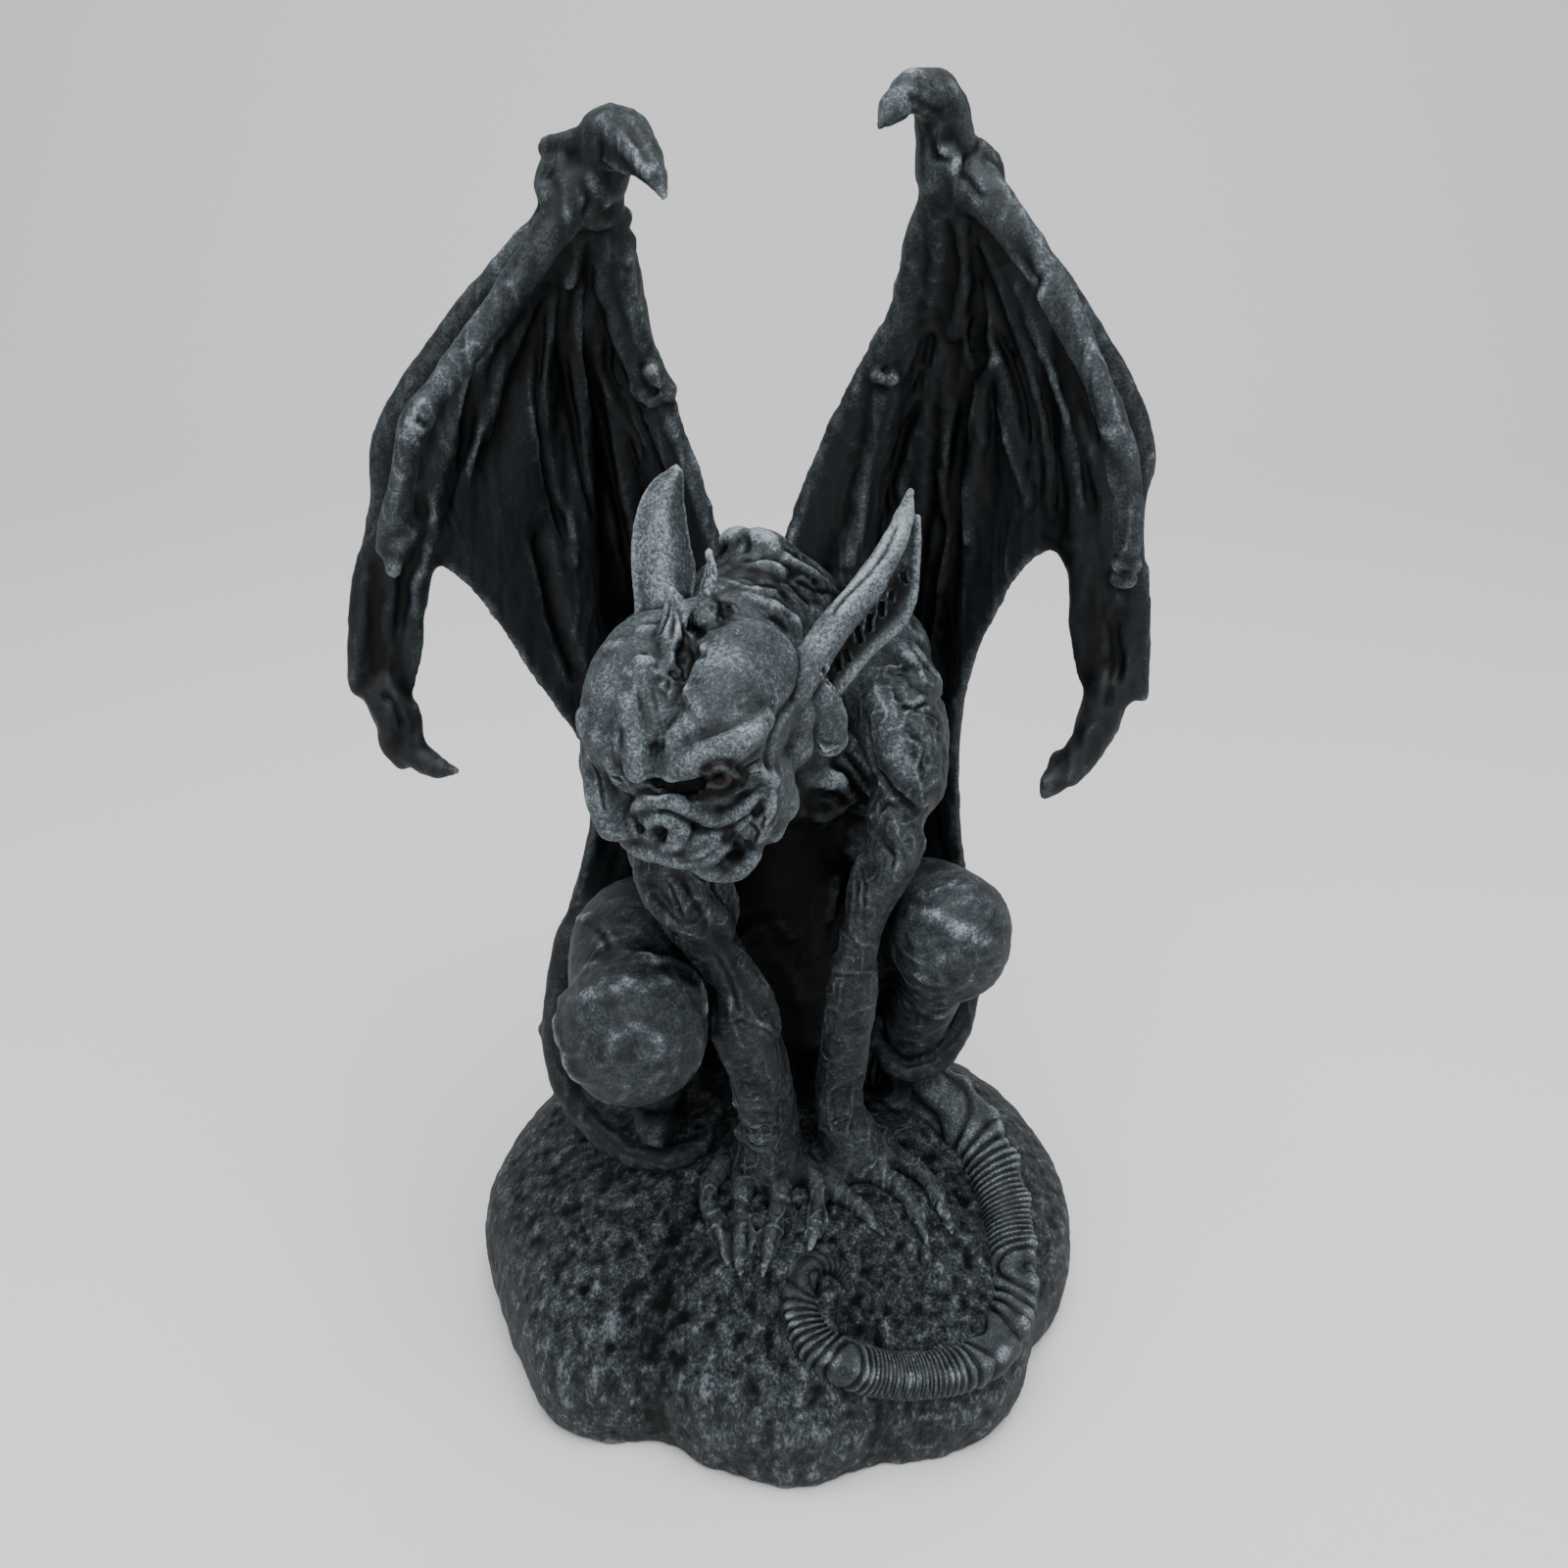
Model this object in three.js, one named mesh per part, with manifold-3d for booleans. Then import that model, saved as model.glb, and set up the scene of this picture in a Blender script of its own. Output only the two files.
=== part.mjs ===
// A winged gargoyle crouching on a boulder, cast in one piece of resin.
// Millimetres, +Z up, the origin at the centre of the boulder's flat underside, the figure facing -Y.
// Left and right are the viewer's, looking at the figure from the front.
import * as THREE from 'three';
import { LoftGeometry } from 'three/addons/geometries/LoftGeometry.js';
import { mergeVertices } from 'three/addons/utils/BufferGeometryUtils.js';
import Module from 'manifold-3d';

// Driving dimensions
const ROCK_WIDTH = 142;
const ROCK_DEPTH = 124;
const ROCK_HEIGHT = 52;
const FIGURE_HEIGHT = 233; // from the seat on the boulder to the top of the taller wing
const MEMBRANE = 3.4; // thickness of the wing skin between its bones
const FOLD_DEPTH = 2.4; // how far the folds of the wing skin rise and fall
const TAIL_ROOT_RADIUS = 10;
const TAIL_TIP_RADIUS = 1.2;
const TAIL_RINGS = 16;
const CLAW_TIP_RADIUS = 0.8;
const SINK = 2; // how deep the figure is bedded in the boulder
const HEAD_TURN = 19; // degrees, towards the viewer's left
const HEAD_NOD = 29; // degrees, downwards

// The figure's proportions below are in millimetres of a figure 233 high, measured from the seat.
const PROPORTION_HEIGHT = 233;
const unit = FIGURE_HEIGHT / PROPORTION_HEIGHT;
const seat = ROCK_HEIGHT - SINK;
const radians = THREE.MathUtils.degToRad;

const wasm = await Module();
wasm.setup();

// Places a point of the figure, given from its seat, in the part's frame.
function figurePoint([x, y, z]) {
  return new THREE.Vector3(x * unit, y * unit, seat + z * unit);
}

// Turns a closed three.js geometry into a solid that can be joined.
function solidOf(geometry) {
  const bare = geometry.index ? geometry.toNonIndexed() : geometry.clone();
  for (const name of Object.keys(bare.attributes)) {
    if (name !== 'position') bare.deleteAttribute(name);
  }
  const merged = mergeVertices(bare, 1e-4);
  const corners = merged.index.array;
  const kept = [];
  for (let i = 0; i < corners.length; i += 3) {
    const [a, b, c] = [corners[i], corners[i + 1], corners[i + 2]];
    if (a !== b && b !== c && c !== a) kept.push(a, b, c);
  }
  const solid = new wasm.Manifold(new wasm.Mesh({
    numProp: 3,
    vertProperties: merged.attributes.position.array,
    triVerts: new Uint32Array(kept),
  }));
  if (solid.volume() > 0) return solid;
  for (let i = 0; i < kept.length; i += 3) {
    [kept[i + 1], kept[i + 2]] = [kept[i + 2], kept[i + 1]];
  }
  return new wasm.Manifold(new wasm.Mesh({
    numProp: 3,
    vertProperties: merged.attributes.position.array,
    triVerts: new Uint32Array(kept),
  }));
}

// A rounded mass: a faceted ball stretched to its half sizes, turned and put in its place.
const BALLS = {
  large: () => new THREE.IcosahedronGeometry(1, 2),
  medium: () => new THREE.IcosahedronGeometry(1, 1),
  small: () => new THREE.OctahedronGeometry(1, 1),
};

function ballAt(place, radii, turn, ball = 'medium') {
  const geometry = BALLS[ball]();
  geometry.scale(radii[0] * unit, radii[1] * unit, radii[2] * unit);
  if (turn) geometry.applyMatrix4(new THREE.Matrix4().makeRotationFromEuler(turn));
  geometry.translate(place.x, place.y, place.z);
  return solidOf(geometry);
}

function mass({ centre, radii, ball }) {
  return ballAt(figurePoint(centre), radii, null, ball);
}

// A round limb skinned along a curve through its stations, with rounded ends.
function skinAlong(points, radii, sides, steps) {
  const curve = new THREE.CatmullRomCurve3(points, false, 'centripetal');
  const frames = { side: null };
  const sections = [];
  const ring = (centre, along, radius) => {
    if (!frames.side) {
      const helper = Math.abs(along.z) < 0.8 ? new THREE.Vector3(0, 0, 1) : new THREE.Vector3(0, 1, 0);
      frames.side = new THREE.Vector3().crossVectors(helper, along).normalize();
    }
    frames.side.addScaledVector(along, -frames.side.dot(along)).normalize();
    const other = new THREE.Vector3().crossVectors(along, frames.side);
    const loop = [];
    for (let k = 0; k < sides; k++) {
      const angle = (2 * Math.PI * k) / sides;
      loop.push(centre.clone()
        .addScaledVector(frames.side, radius * Math.cos(angle))
        .addScaledVector(other, radius * Math.sin(angle)));
    }
    return loop;
  };
  const spans = radii.length - 1;
  const radiusAt = (t) => {
    const at = Math.min(t * spans, spans - 1e-6);
    const from = Math.floor(at);
    return THREE.MathUtils.lerp(radii[from], radii[from + 1], THREE.MathUtils.smoothstep(at - from, 0, 1));
  };
  const first = curve.getTangent(0);
  const last = curve.getTangent(1);
  const start = curve.getPoint(0);
  const end = curve.getPoint(1);
  sections.push(ring(start.clone().addScaledVector(first, -0.75 * radii[0]), first, 0.45 * radii[0]));
  for (let i = 0; i <= steps; i++) {
    sections.push(ring(curve.getPoint(i / steps), curve.getTangent(i / steps), radiusAt(i / steps)));
  }
  sections.push(ring(end.clone().addScaledVector(last, 0.75 * radii[spans]), last, 0.45 * radii[spans]));
  return solidOf(new LoftGeometry(sections, { capStart: true, capEnd: true }));
}

// A thin sheet between two skins, closed along its edges: each row has a front and a back run of points.
function sheet(rows) {
  const middle = ({ front, back }) => front.map((point, k) => point.clone().lerp(back[k], 0.5));
  const ring = (front, back) => [...front, ...[...back].reverse()];
  const first = middle(rows[0]);
  const last = middle(rows[rows.length - 1]);
  const sections = [ring(first, first), ...rows.map(({ front, back }) => ring(front, back)), ring(last, last)];
  return solidOf(new LoftGeometry(sections));
}

// A limb of the figure: each station is x, y, z from the seat and a radius.
function limb(stations, sides = 8, stepsPerSpan = 2) {
  return skinAlong(
    stations.map(figurePoint),
    stations.map((station) => station[3] * unit),
    sides,
    (stations.length - 1) * stepsPerSpan,
  );
}

function union(solids) {
  return wasm.Manifold.union(solids);
}

// The boulder
// Each lobe of its outline is an angle, how far it stands out and how wide it spreads, in degrees.
const ROCK_LOBES = [
  [15, 2, 15], [60, 2, 15], [130, 3, 18], [175, 3.5, 20], [222, 6, 14], [242, -4.5, 8],
  [276, 3.5, 16], [289, -2, 8], [312, 5, 14], [334, -3, 8],
];
// Its flank and top: the share of the height, and the share of the outline's reach there.
const ROCK_PROFILE = [
  [0, 0.96], [0.14, 0.99], [0.32, 1], [0.48, 0.98], [0.62, 0.92], [0.75, 0.815],
  [0.87, 0.67], [0.96, 0.47], [1, 0.12],
];
const ROCK_TOP_SHIFT = [-3, 8]; // how far the top lies aside of and behind the outline's centre
const ROCK_SIDES = 32;

function rockReach(degrees) {
  const angle = radians(degrees);
  let reach = 1 / Math.hypot(Math.cos(angle) / (ROCK_WIDTH / 2), Math.sin(angle) / (ROCK_DEPTH / 2));
  for (const [at, height, spread] of ROCK_LOBES) {
    const off = ((degrees - at + 540) % 360) - 180;
    reach += height * Math.exp(-((off / spread) ** 2));
  }
  return reach;
}

function rockShift(share) {
  return ROCK_TOP_SHIFT.map((shift) => shift * THREE.MathUtils.smoothstep(share, 0.35, 0.9));
}

function profileShare(share) {
  for (let i = 1; i < ROCK_PROFILE.length; i++) {
    const [low, lowReach] = ROCK_PROFILE[i - 1];
    const [high, highReach] = ROCK_PROFILE[i];
    if (share <= high) return THREE.MathUtils.mapLinear(share, low, high, lowReach, highReach);
  }
  return 0;
}

// The height of the boulder's upper surface over a point of its plan.
function rockTop(x, y) {
  let low = 0.4;
  let high = 1;
  for (let i = 0; i < 24; i++) {
    const share = (low + high) / 2;
    const [shiftX, shiftY] = rockShift(share);
    const [dx, dy] = [x - shiftX, y - shiftY];
    const degrees = (THREE.MathUtils.radToDeg(Math.atan2(dy, dx)) + 360) % 360;
    if (Math.hypot(dx, dy) < rockReach(degrees) * profileShare(share)) low = share;
    else high = share;
  }
  return low * ROCK_HEIGHT;
}

function rock() {
  const sections = ROCK_PROFILE.map(([share, reachShare], level) => {
    const [shiftX, shiftY] = rockShift(share);
    const loop = [];
    for (let k = 0; k < ROCK_SIDES; k++) {
      const degrees = (360 * k) / ROCK_SIDES;
      const lump = level ? 1.1 * Math.sin(k * 1.7 + level * 2.1) * Math.sin(k * 0.6 - level * 1.3) : 0;
      const reach = rockReach(degrees) * reachShare + lump * reachShare;
      loop.push(new THREE.Vector3(
        reach * Math.cos(radians(degrees)) + shiftX,
        reach * Math.sin(radians(degrees)) + shiftY,
        share * ROCK_HEIGHT,
      ));
    }
    return loop;
  });
  return solidOf(new LoftGeometry(sections, { capStart: true, capEnd: true }));
}

// The tail leaves the pelvis, then lies round the boulder: an angle and a share of the outline's reach.
const TAIL_BODY = [[-3, 38, 20], [9, 36, 10], [22, 24, 5]];
const TAIL_ON_ROCK = [
  [20, 0.5], [2, 0.62], [346, 0.75], [333, 0.89], [321, 0.93], [310, 0.95], [297, 0.95],
  [285, 0.9], [277, 0.81], [274, 0.69], [279, 0.6], [287, 0.63], [289, 0.7],
];

function tailPoints() {
  const points = TAIL_BODY.map(figurePoint);
  const spans = TAIL_BODY.length + TAIL_ON_ROCK.length - 1;
  TAIL_ON_ROCK.forEach(([degrees, share], i) => {
    const reach = rockReach(degrees) * share;
    const x = reach * Math.cos(radians(degrees));
    const y = reach * Math.sin(radians(degrees));
    const radius = tailRadius((i + TAIL_BODY.length) / spans);
    points.push(new THREE.Vector3(x, y, rockTop(x, y) + 0.45 * radius));
  });
  return points;
}

function tailRadius(share) {
  return THREE.MathUtils.lerp(TAIL_ROOT_RADIUS, TAIL_TIP_RADIUS, share ** 1.2);
}

// Ringed like a rat's tail: every other section is a little smaller.
function tail() {
  const radii = [];
  for (let i = 0; i <= 2 * TAIL_RINGS; i++) {
    radii.push(tailRadius(i / (2 * TAIL_RINGS)) * (i % 2 ? 0.92 : 1.06));
  }
  return skinAlong(tailPoints(), radii, 6, 2 * TAIL_RINGS);
}

function tailWarts() {
  const curve = new THREE.CatmullRomCurve3(tailPoints(), false, 'centripetal');
  const warts = [];
  for (let t = 0.28; t < 0.8; t += 0.13) {
    const radius = tailRadius(t);
    const outwards = new THREE.Vector3().crossVectors(curve.getTangent(t), new THREE.Vector3(0, 0, 1)).normalize();
    const place = curve.getPoint(t).addScaledVector(outwards, -0.7 * radius);
    place.z += 0.65 * radius;
    warts.push(ballAt(place, [0.45 * radius, 0.45 * radius, 0.45 * radius], null, 'small'));
  }
  return warts;
}

// The torso, bent forward under a high back
const SPINE = [
  [-3, 22, 4, 20], [-3, 24, 22, 24], [-3, 22, 50, 23], [-3, 19, 80, 22], [-3, 14, 106, 24],
  [-4, 6, 126, 19], [-8, -12, 133, 13], [-13, -28, 133, 12],
];
const BACK = [
  { centre: [-5, 6, 140.5], radii: [8, 9.5, 8.5] },
  { centre: [13, 6, 121], radii: [18, 14, 15] },
  { centre: [-19, 5, 120], radii: [18, 14, 15] },
  { centre: [20, 2, 104], radii: [15, 13.5, 17.5], ball: 'small' },
  { centre: [-25, 2, 102], radii: [14.5, 13.5, 17.5], ball: 'small' },
  { centre: [-2, -6, 96], radii: [17.5, 13.5, 17.5], ball: 'small' },
];

// Each arm runs from the shoulder to the hand on the boulder.
const LEFT_ARM = [
  [-24, -13, 109, 12], [-23.5, -20, 95, 11.5], [-19, -25, 83, 10.3], [-9.5, -27, 71, 6.9],
  [-6.5, -25, 51.5, 8.6], [-5.5, -22, 36, 7.2], [-3.5, -18, 18.5, 6.8], [-3, -16, 6, 7.6],
];
const RIGHT_ARM = [
  [19.5, -11, 114, 12], [24, -16, 99.5, 10], [21, -20, 87, 8], [17, -22, 69.5, 5.4],
  [14, -20, 56, 6.6], [13.5, -18, 38.5, 6], [13, -14, 18, 6.2], [15.5, -12, 6, 7.4],
];
// Fingers: x and y from the seat's centre at the knuckle, middle joint and claw.
const LEFT_FINGERS = [
  [[-9, -15], [-17, -23.5], [-16.5, -28], [-13.5, -34]],
  [[-6, -17.5], [-9.5, -25], [-9.5, -31], [-9.5, -38.5]],
  [[-1, -17.5], [-0.5, -26], [-2.5, -31], [-4.5, -38.5]],
  [[2, -13], [8, -22], [7.7, -26], [6.5, -31]],
];
const RIGHT_FINGERS = [
  [[12, -15], [13, -23], [17, -26.5], [23.5, -28]],
  [[15.5, -16], [23.5, -22.5], [28, -27.5], [32.5, -33.5]],
  [[20, -13.5], [30.5, -18], [34.5, -24], [38, -30]],
  [[22, -9], [34, -11], [40.5, -15.5], [45, -21]],
];
const FINGER_RADIUS = 2.5;

function finger(route) {
  const heights = [4.5, 3, 2, 0.6];
  const radii = [FINGER_RADIUS * 1.25, FINGER_RADIUS, FINGER_RADIUS * 0.92, CLAW_TIP_RADIUS];
  const points = route.map(([x, y], i) => {
    const place = figurePoint([x, y, 0]);
    place.z = rockTop(place.x, place.y) + heights[i] * unit;
    return place;
  });
  return skinAlong(points, radii.map((radius) => radius * unit), 5, 3);
}

function hand(palm, routes) {
  return [mass({ centre: palm, radii: [10.5, 10, 6.5], ball: 'small' }), ...routes.map(finger)];
}

// Each leg folds from the hip up to the knee and back down to a foot in the shadow behind it.
const LEFT_LEG = {
  thigh: [[-18, 22, 26, 18], [-27, 10, 46, 16], [-32, -8, 58, 14.5], [-31, -24, 58, 14]],
  knee: { centre: [-30.8, -34, 56.5], radii: [15.4, 15, 16.2] },
  shin: [[-31, -27, 44, 9], [-31, -8, 24, 8], [-30, 6, 8, 7.5]],
  foot: [[-30, 8, 3, 7], [-30.5, 0, 2, 6], [-31, -8, 0, 3]],
};
const RIGHT_LEG = {
  thigh: [[13, 26, 28, 18], [22, 16, 46, 15.5], [30, 4, 58, 13.5], [34, -5, 63, 13]],
  knee: { centre: [35.6, -12, 64.2], radii: [13.3, 13.4, 15.2] },
  shin: [[34, -6, 52, 8.5], [31, 6, 28, 8], [30, 14, 8, 7.5]],
  foot: [[30, 15, 3, 7], [31, 5, 2, 6], [32, -4, 0, 3]],
};

function leg({ thigh, knee, shin, foot }) {
  return [limb(thigh, 8, 1), mass(knee), limb(shin, 6, 1), limb(foot, 6, 1)];
}

// The head has its own frame: x to the viewer's right, -y along the muzzle, z through the crown.
const HEAD_CENTRE = [-16.5, -42, 131];
const headTurn = new THREE.Euler(radians(HEAD_NOD), 0, radians(-HEAD_TURN), 'ZXY');
const HEAD_MASSES = [
  { centre: [0, 3, 0.5], radii: [18.5, 23, 17] }, // cranium
  { centre: [8.6, 1, 6.5], radii: [11.2, 17.5, 13.5], ball: 'large' }, // domes of the skull
  { centre: [-8, 1, 5.5], radii: [11.9, 17.5, 13.4] },
  { centre: [0.5, -6, -7], radii: [19, 14, 13] }, // cheeks
  { centre: [2.5, -16.5, -8], radii: [11, 8, 8] }, // muzzle
  { centre: [1.8, -22.3, -0.5], radii: [5, 4.4, 4.6], ball: 'small' }, // nose
  { centre: [5.2, -22.5, -2.6], radii: [2.9, 3, 2.9], ball: 'small' }, // nostril wings
  { centre: [-1.6, -22, -1.6], radii: [2.9, 3, 2.9], ball: 'small' },
  { centre: [8.4, -17.5, -8.5], radii: [5.4, 5.4, 4.6], ball: 'small' }, // upper lips
  { centre: [-3.5, -18, -9.5], radii: [5.8, 5.4, 4.6], ball: 'small' },
  { centre: [5.5, -12.5, -19], radii: [10.5, 7.5, 5], ball: 'small' }, // lower jaw
  { centre: [16.2, -7.5, -5.5], radii: [5, 6.5, 7.5], ball: 'small' }, // cheek bulges
  { centre: [-16, -6, -5.5], radii: [5.6, 8.2, 8], ball: 'small' },
  { centre: [19.8, -2.5, -3.5], radii: [3.2, 5.5, 8.5], ball: 'small' }, // cheek flaps
  { centre: [17.3, -4.5, -14], radii: [3.4, 5.2, 6], ball: 'small' },
];
const MOUTH_CORNER = { centre: [12.5, -15.5, -15.5], radii: [4.4, 4.2, 2.6], ball: 'small' };
const EYE = { centre: [9.6, -12.8, 3.4], radii: [3.7, 3.7, 3.7], ball: 'small' };
const RIDGES = [
  { path: [[4.2, -18, 7.5], [5.6, -16, 12], [9, -14, 12], [12.6, -10, 11.5], [15.5, -5, 10.8]], radii: [3.2, 4.4, 4.6, 4.2, 2.8] },
  { path: [[-0.6, -18, 7.5], [-1.5, -15.5, 10.8], [-5.5, -12, 11], [-10.5, -7.5, 10], [-14.5, -3, 8.5]], radii: [3, 4.2, 4.2, 3.6, 2.4] },
  { path: [[2.4, 12, 15.5], [1.6, 18, 18.5], [0.6, 22, 20.8]], radii: [3.6, 2.6, 0.9] },
  { path: [[-0.8, 3, 15], [-2, 9, 19], [-3, 12, 22.6]], radii: [3.6, 2.2, 0.8] },
];

function headPoint([x, y, z]) {
  const place = new THREE.Vector3(x * unit, y * unit, z * unit).applyEuler(headTurn);
  return place.add(figurePoint(HEAD_CENTRE));
}

function headMass({ centre, radii, ball }) {
  return ballAt(headPoint(centre), radii, headTurn, ball);
}

function headLimb({ path, radii }) {
  return skinAlong(path.map(headPoint), radii.map((radius) => radius * unit), 6, path.length - 1);
}

// A pointed ear hollowed on one side: its two edges from the root to the tip, and the way its back bulges.
const LEFT_EAR = {
  upper: [[-15, -30, 138], [-17.5, -24, 147], [-17, -20.5, 151], [-18, -18, 156], [-18.8, -16, 163], [-18.4, -15, 168.5]],
  lower: [[-28, -31, 138], [-25.6, -29, 146], [-26.3, -24, 154], [-25.8, -20, 161], [-23.6, -17, 166], [-19.2, -15, 169.3]],
  bulge: [0.2, -0.85, 0.5],
  depth: [2.5, 3.4, 3.6, 3.2, 2.2, 0.6],
};
const RIGHT_EAR = {
  upper: [[0, -41, 137], [5.5, -38, 143], [9.5, -33, 147], [14.3, -28, 151], [19, -23, 157], [22.2, -17, 163.5]],
  lower: [[7, -40, 124.5], [10, -37, 125.5], [9.2, -33, 133.5], [15, -28, 138.5], [22.4, -22.5, 144], [24.4, -16.5, 159]],
  bulge: [-0.4, 0.9, 0.1],
  depth: [1.5, 3.4, 4, 4, 3, 0.8],
};
const RIGHT_EAR_EDGE = [
  [1, -43, 137, 3.4], [5.5, -38, 142.8, 3.3], [9.5, -33, 146.8, 3.1], [14.3, -28, 150.6, 3], [19, -23, 156.3, 2.5],
  [21.5, -19, 160.7, 1.9], [22.9, -15, 164.4, 0.8],
];
const EAR_WALL = 2.4;

function ear({ upper, lower, bulge, depth }) {
  const across = 3;
  const away = new THREE.Vector3(...bulge).normalize();
  return sheet(upper.map((top, i) => {
    const from = figurePoint(top);
    const to = figurePoint(lower[i]);
    const wall = Math.min(EAR_WALL * unit, 0.5 * from.distanceTo(to));
    const run = (bow, offset) => Array.from({ length: across + 1 }, (_, k) => {
      const out = bow * depth[i] * unit * Math.sin((Math.PI * k) / across) + offset;
      return from.clone().lerp(to, k / across).addScaledVector(away, out);
    });
    return { front: run(1, 0.5 * wall), back: run(0.72, -0.5 * wall) };
  }));
}

function head() {
  const face = union([...HEAD_MASSES.map(headMass), ...RIDGES.map(headLimb)]);
  return [
    face.subtract(headMass(MOUTH_CORNER)), headMass(EYE), ear(LEFT_EAR), ear(RIGHT_EAR), limb(RIGHT_EAR_EDGE, 6, 1),
  ];
}

// A wing is a fan of rays from the wrist. Each ray is six points from the wrist to the skin's edge.
const LEFT_WING = {
  rays: [
    [[-30.5, 8, 211], [-30, 10, 203], [-28.5, 13, 192], [-24.5, 15, 178], [-17.5, 14, 156], [-8, 9, 128]],
    [[-31.5, 8, 212], [-31, 14, 202], [-30, 19, 190], [-28.5, 24, 172.5], [-25, 26, 154.5], [-19, 20, 126]],
    [[-32.5, 8, 212], [-31.5, 17, 194], [-30, 27, 168.5], [-28, 34, 138.5], [-25, 36, 103.5], [-23.5, 34, 72.5]],
    [[-33.5, 8, 211.5], [-35, 22, 183.5], [-35, 33, 143], [-35.5, 35, 100], [-41.5, 24, 67.5], [-49, 8, 46]],
    [[-34, 8, 211.5], [-36.5, 18, 190], [-38.5, 26, 164.5], [-39.5, 29, 136], [-40, 26, 107], [-42, 20, 80]],
    [[-34.5, 8, 211.5], [-40, 15, 194.5], [-44, 20, 174.5], [-46.5, 21, 154], [-50, 18, 134], [-53, 14, 112.5]],
    [[-35, 8, 212], [-43, 12, 198.5], [-50.5, 15, 183.5], [-57, 14, 168.5], [-63, 10, 155], [-68.5, 4, 142]],
    [[-35, 8, 212.5], [-45, 11, 198], [-56, 11, 181], [-63.5, 8, 165], [-68.5, 5, 150], [-72.7, 1, 132]],
    [[-35.5, 8, 213], [-49, 9, 196], [-65, 7, 175], [-72, 3, 153], [-76, 0, 134], [-76, -3, 116]],
    [[-36, 8, 214], [-54, 7, 196.5], [-75, 4, 169.5], [-78, 2, 155], [-83.5, 0, 137], [-84.3, -4, 120.5]],
  ],
  leadingFinger: [
    [-35, 6, 214.5, 5.4], [-41.6, 1, 206, 4], [-51.2, -5, 194.2, 3.2], [-61.9, -11, 181.6, 3], [-65.9, -13, 176.5, 3.4],
    [-69.1, -13, 166, 2.6], [-71.8, -12, 155, 2.8], [-73.8, -11, 147.5, 1.4],
  ],
  thumb: [
    [-33, 8, 215, 5.6], [-30.4, 5, 222, 5.2], [-27, 1, 222.4, 4.6], [-24, -3, 219.8, 3.4], [-21.7, -7, 217.3, 2.3],
    [-20.1, -10, 214.2, 0.9],
  ],
  lowerClaw: [[-80.7, -3, 119, 5.6], [-78.6, -5, 113.5, 4.8], [-77.2, -6, 109, 4], [-74.5, -8, 106, 3.1], [-65.8, -12.5, 105, 0.8]],
  wrist: { centre: [-37, 9, 213.5], radii: [7.6, 6, 7.6], ball: 'small' },
  hook: [
    [-48.2, 9, 50, 4], [-51.4, 4, 37.5, 3.8], [-52.8, 2, 25, 3.6], [-51.5, -1, 14, 3.4], [-45.5, -6, 6.5, 3.3],
    [-36, -12, 2.5, 3.1], [-25.5, -14, 2.5, 2.8], [-18.5, -10, 4, 2.2], [-16.5, -4, 6.5, 1.2],
  ],
  hookKnob: { centre: [-55.5, 4, 26], radii: [2.4, 2.4, 2.4] },
};
const RIGHT_WING = {
  rays: [
    [[24.2, 0, 214], [23, 3.5, 204], [20, 8, 191], [12.5, 12.5, 175], [5.4, 14, 158.5], [-5, 8, 130]],
    [[26, 0, 214.5], [25, 6, 204.5], [24, 11, 192], [20.5, 16, 175.5], [17, 20, 156.5], [10, 17, 126]],
    [[26.5, 0, 213.5], [26.5, 9, 196], [26.5, 20, 170.5], [25.5, 29, 140.5], [23.5, 33, 105], [22, 33, 74]],
    [[27, 0, 213], [30, 13, 186], [32, 25, 146], [31.5, 30, 102.5], [36, 25, 67.5], [43, 14, 44]],
    [[27.5, 0, 213], [32.5, 9, 192], [36, 16, 168], [37.5, 20, 139.5], [37.5, 20, 112.5], [37.5, 19, 87]],
    [[28.5, 0, 213], [34.5, 6, 196.5], [39, 10, 181], [42, 12, 165], [43.5, 12, 149], [43.5, 10, 130]],
    [[29, 0, 213], [37, 3, 200], [43.5, 5, 186], [48, 5, 173], [51, 3, 160.5], [52.5, 0, 147]],
    [[29.5, 0, 214], [39, 2, 201], [47, 2, 186], [52, 1, 170], [55, -1, 153], [57.1, -3, 138]],
    [[30, 0, 214.5], [42, -1, 201], [54, -3, 183], [58, -5, 162], [59.8, -7, 140], [58.6, -9.5, 122.5]],
    [[30, 0, 215.5], [44.9, -2, 203], [65.8, -5, 171.5], [65.5, -7, 158.5], [67.6, -9, 138], [67.8, -12, 124]],
  ],
  leadingFinger: [
    [30.5, -1, 216.5, 5.2], [36.8, -7, 211.5, 4], [44.3, -13, 201.6, 3.1], [52.1, -19, 188.7, 2.9], [57.1, -20, 179, 3.2],
    [59.6, -20, 168.4, 2.7], [61.8, -20, 158.3, 2.9], [62.5, -19, 149, 1.4],
  ],
  thumb: [
    [28, 0, 217, 5.6], [27.2, 0, 224.5, 5], [25.4, -3, 229.3, 4.4], [21.8, -7, 230.6, 3.6], [18.4, -11, 229.2, 2.7],
    [15.2, -15.5, 225.8, 0.9],
  ],
  lowerClaw: [[63.7, -11, 123, 5.6], [62.1, -12.5, 116.4, 4.8], [59.6, -14.5, 111.4, 3.9], [56.4, -16.5, 108, 3], [51.2, -20, 104, 0.8]],
  wrist: { centre: [31.5, 1, 215], radii: [7, 5.5, 7.5], ball: 'small' },
  hook: [
    [41, 15, 50, 4], [42.2, 11, 37, 3.8], [41, 6, 26.5, 3.6], [36, 2, 19, 3.3], [29, 0, 17.5, 3],
    [24, 1, 20, 2.6], [21.5, 4, 24.5, 2.2], [23.5, 7, 27.5, 1.8], [27.5, 8, 25.5, 1.2],
  ],
  hookKnob: { centre: [44.8, 11, 34], radii: [2.4, 2.4, 2.4] },
};
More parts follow.
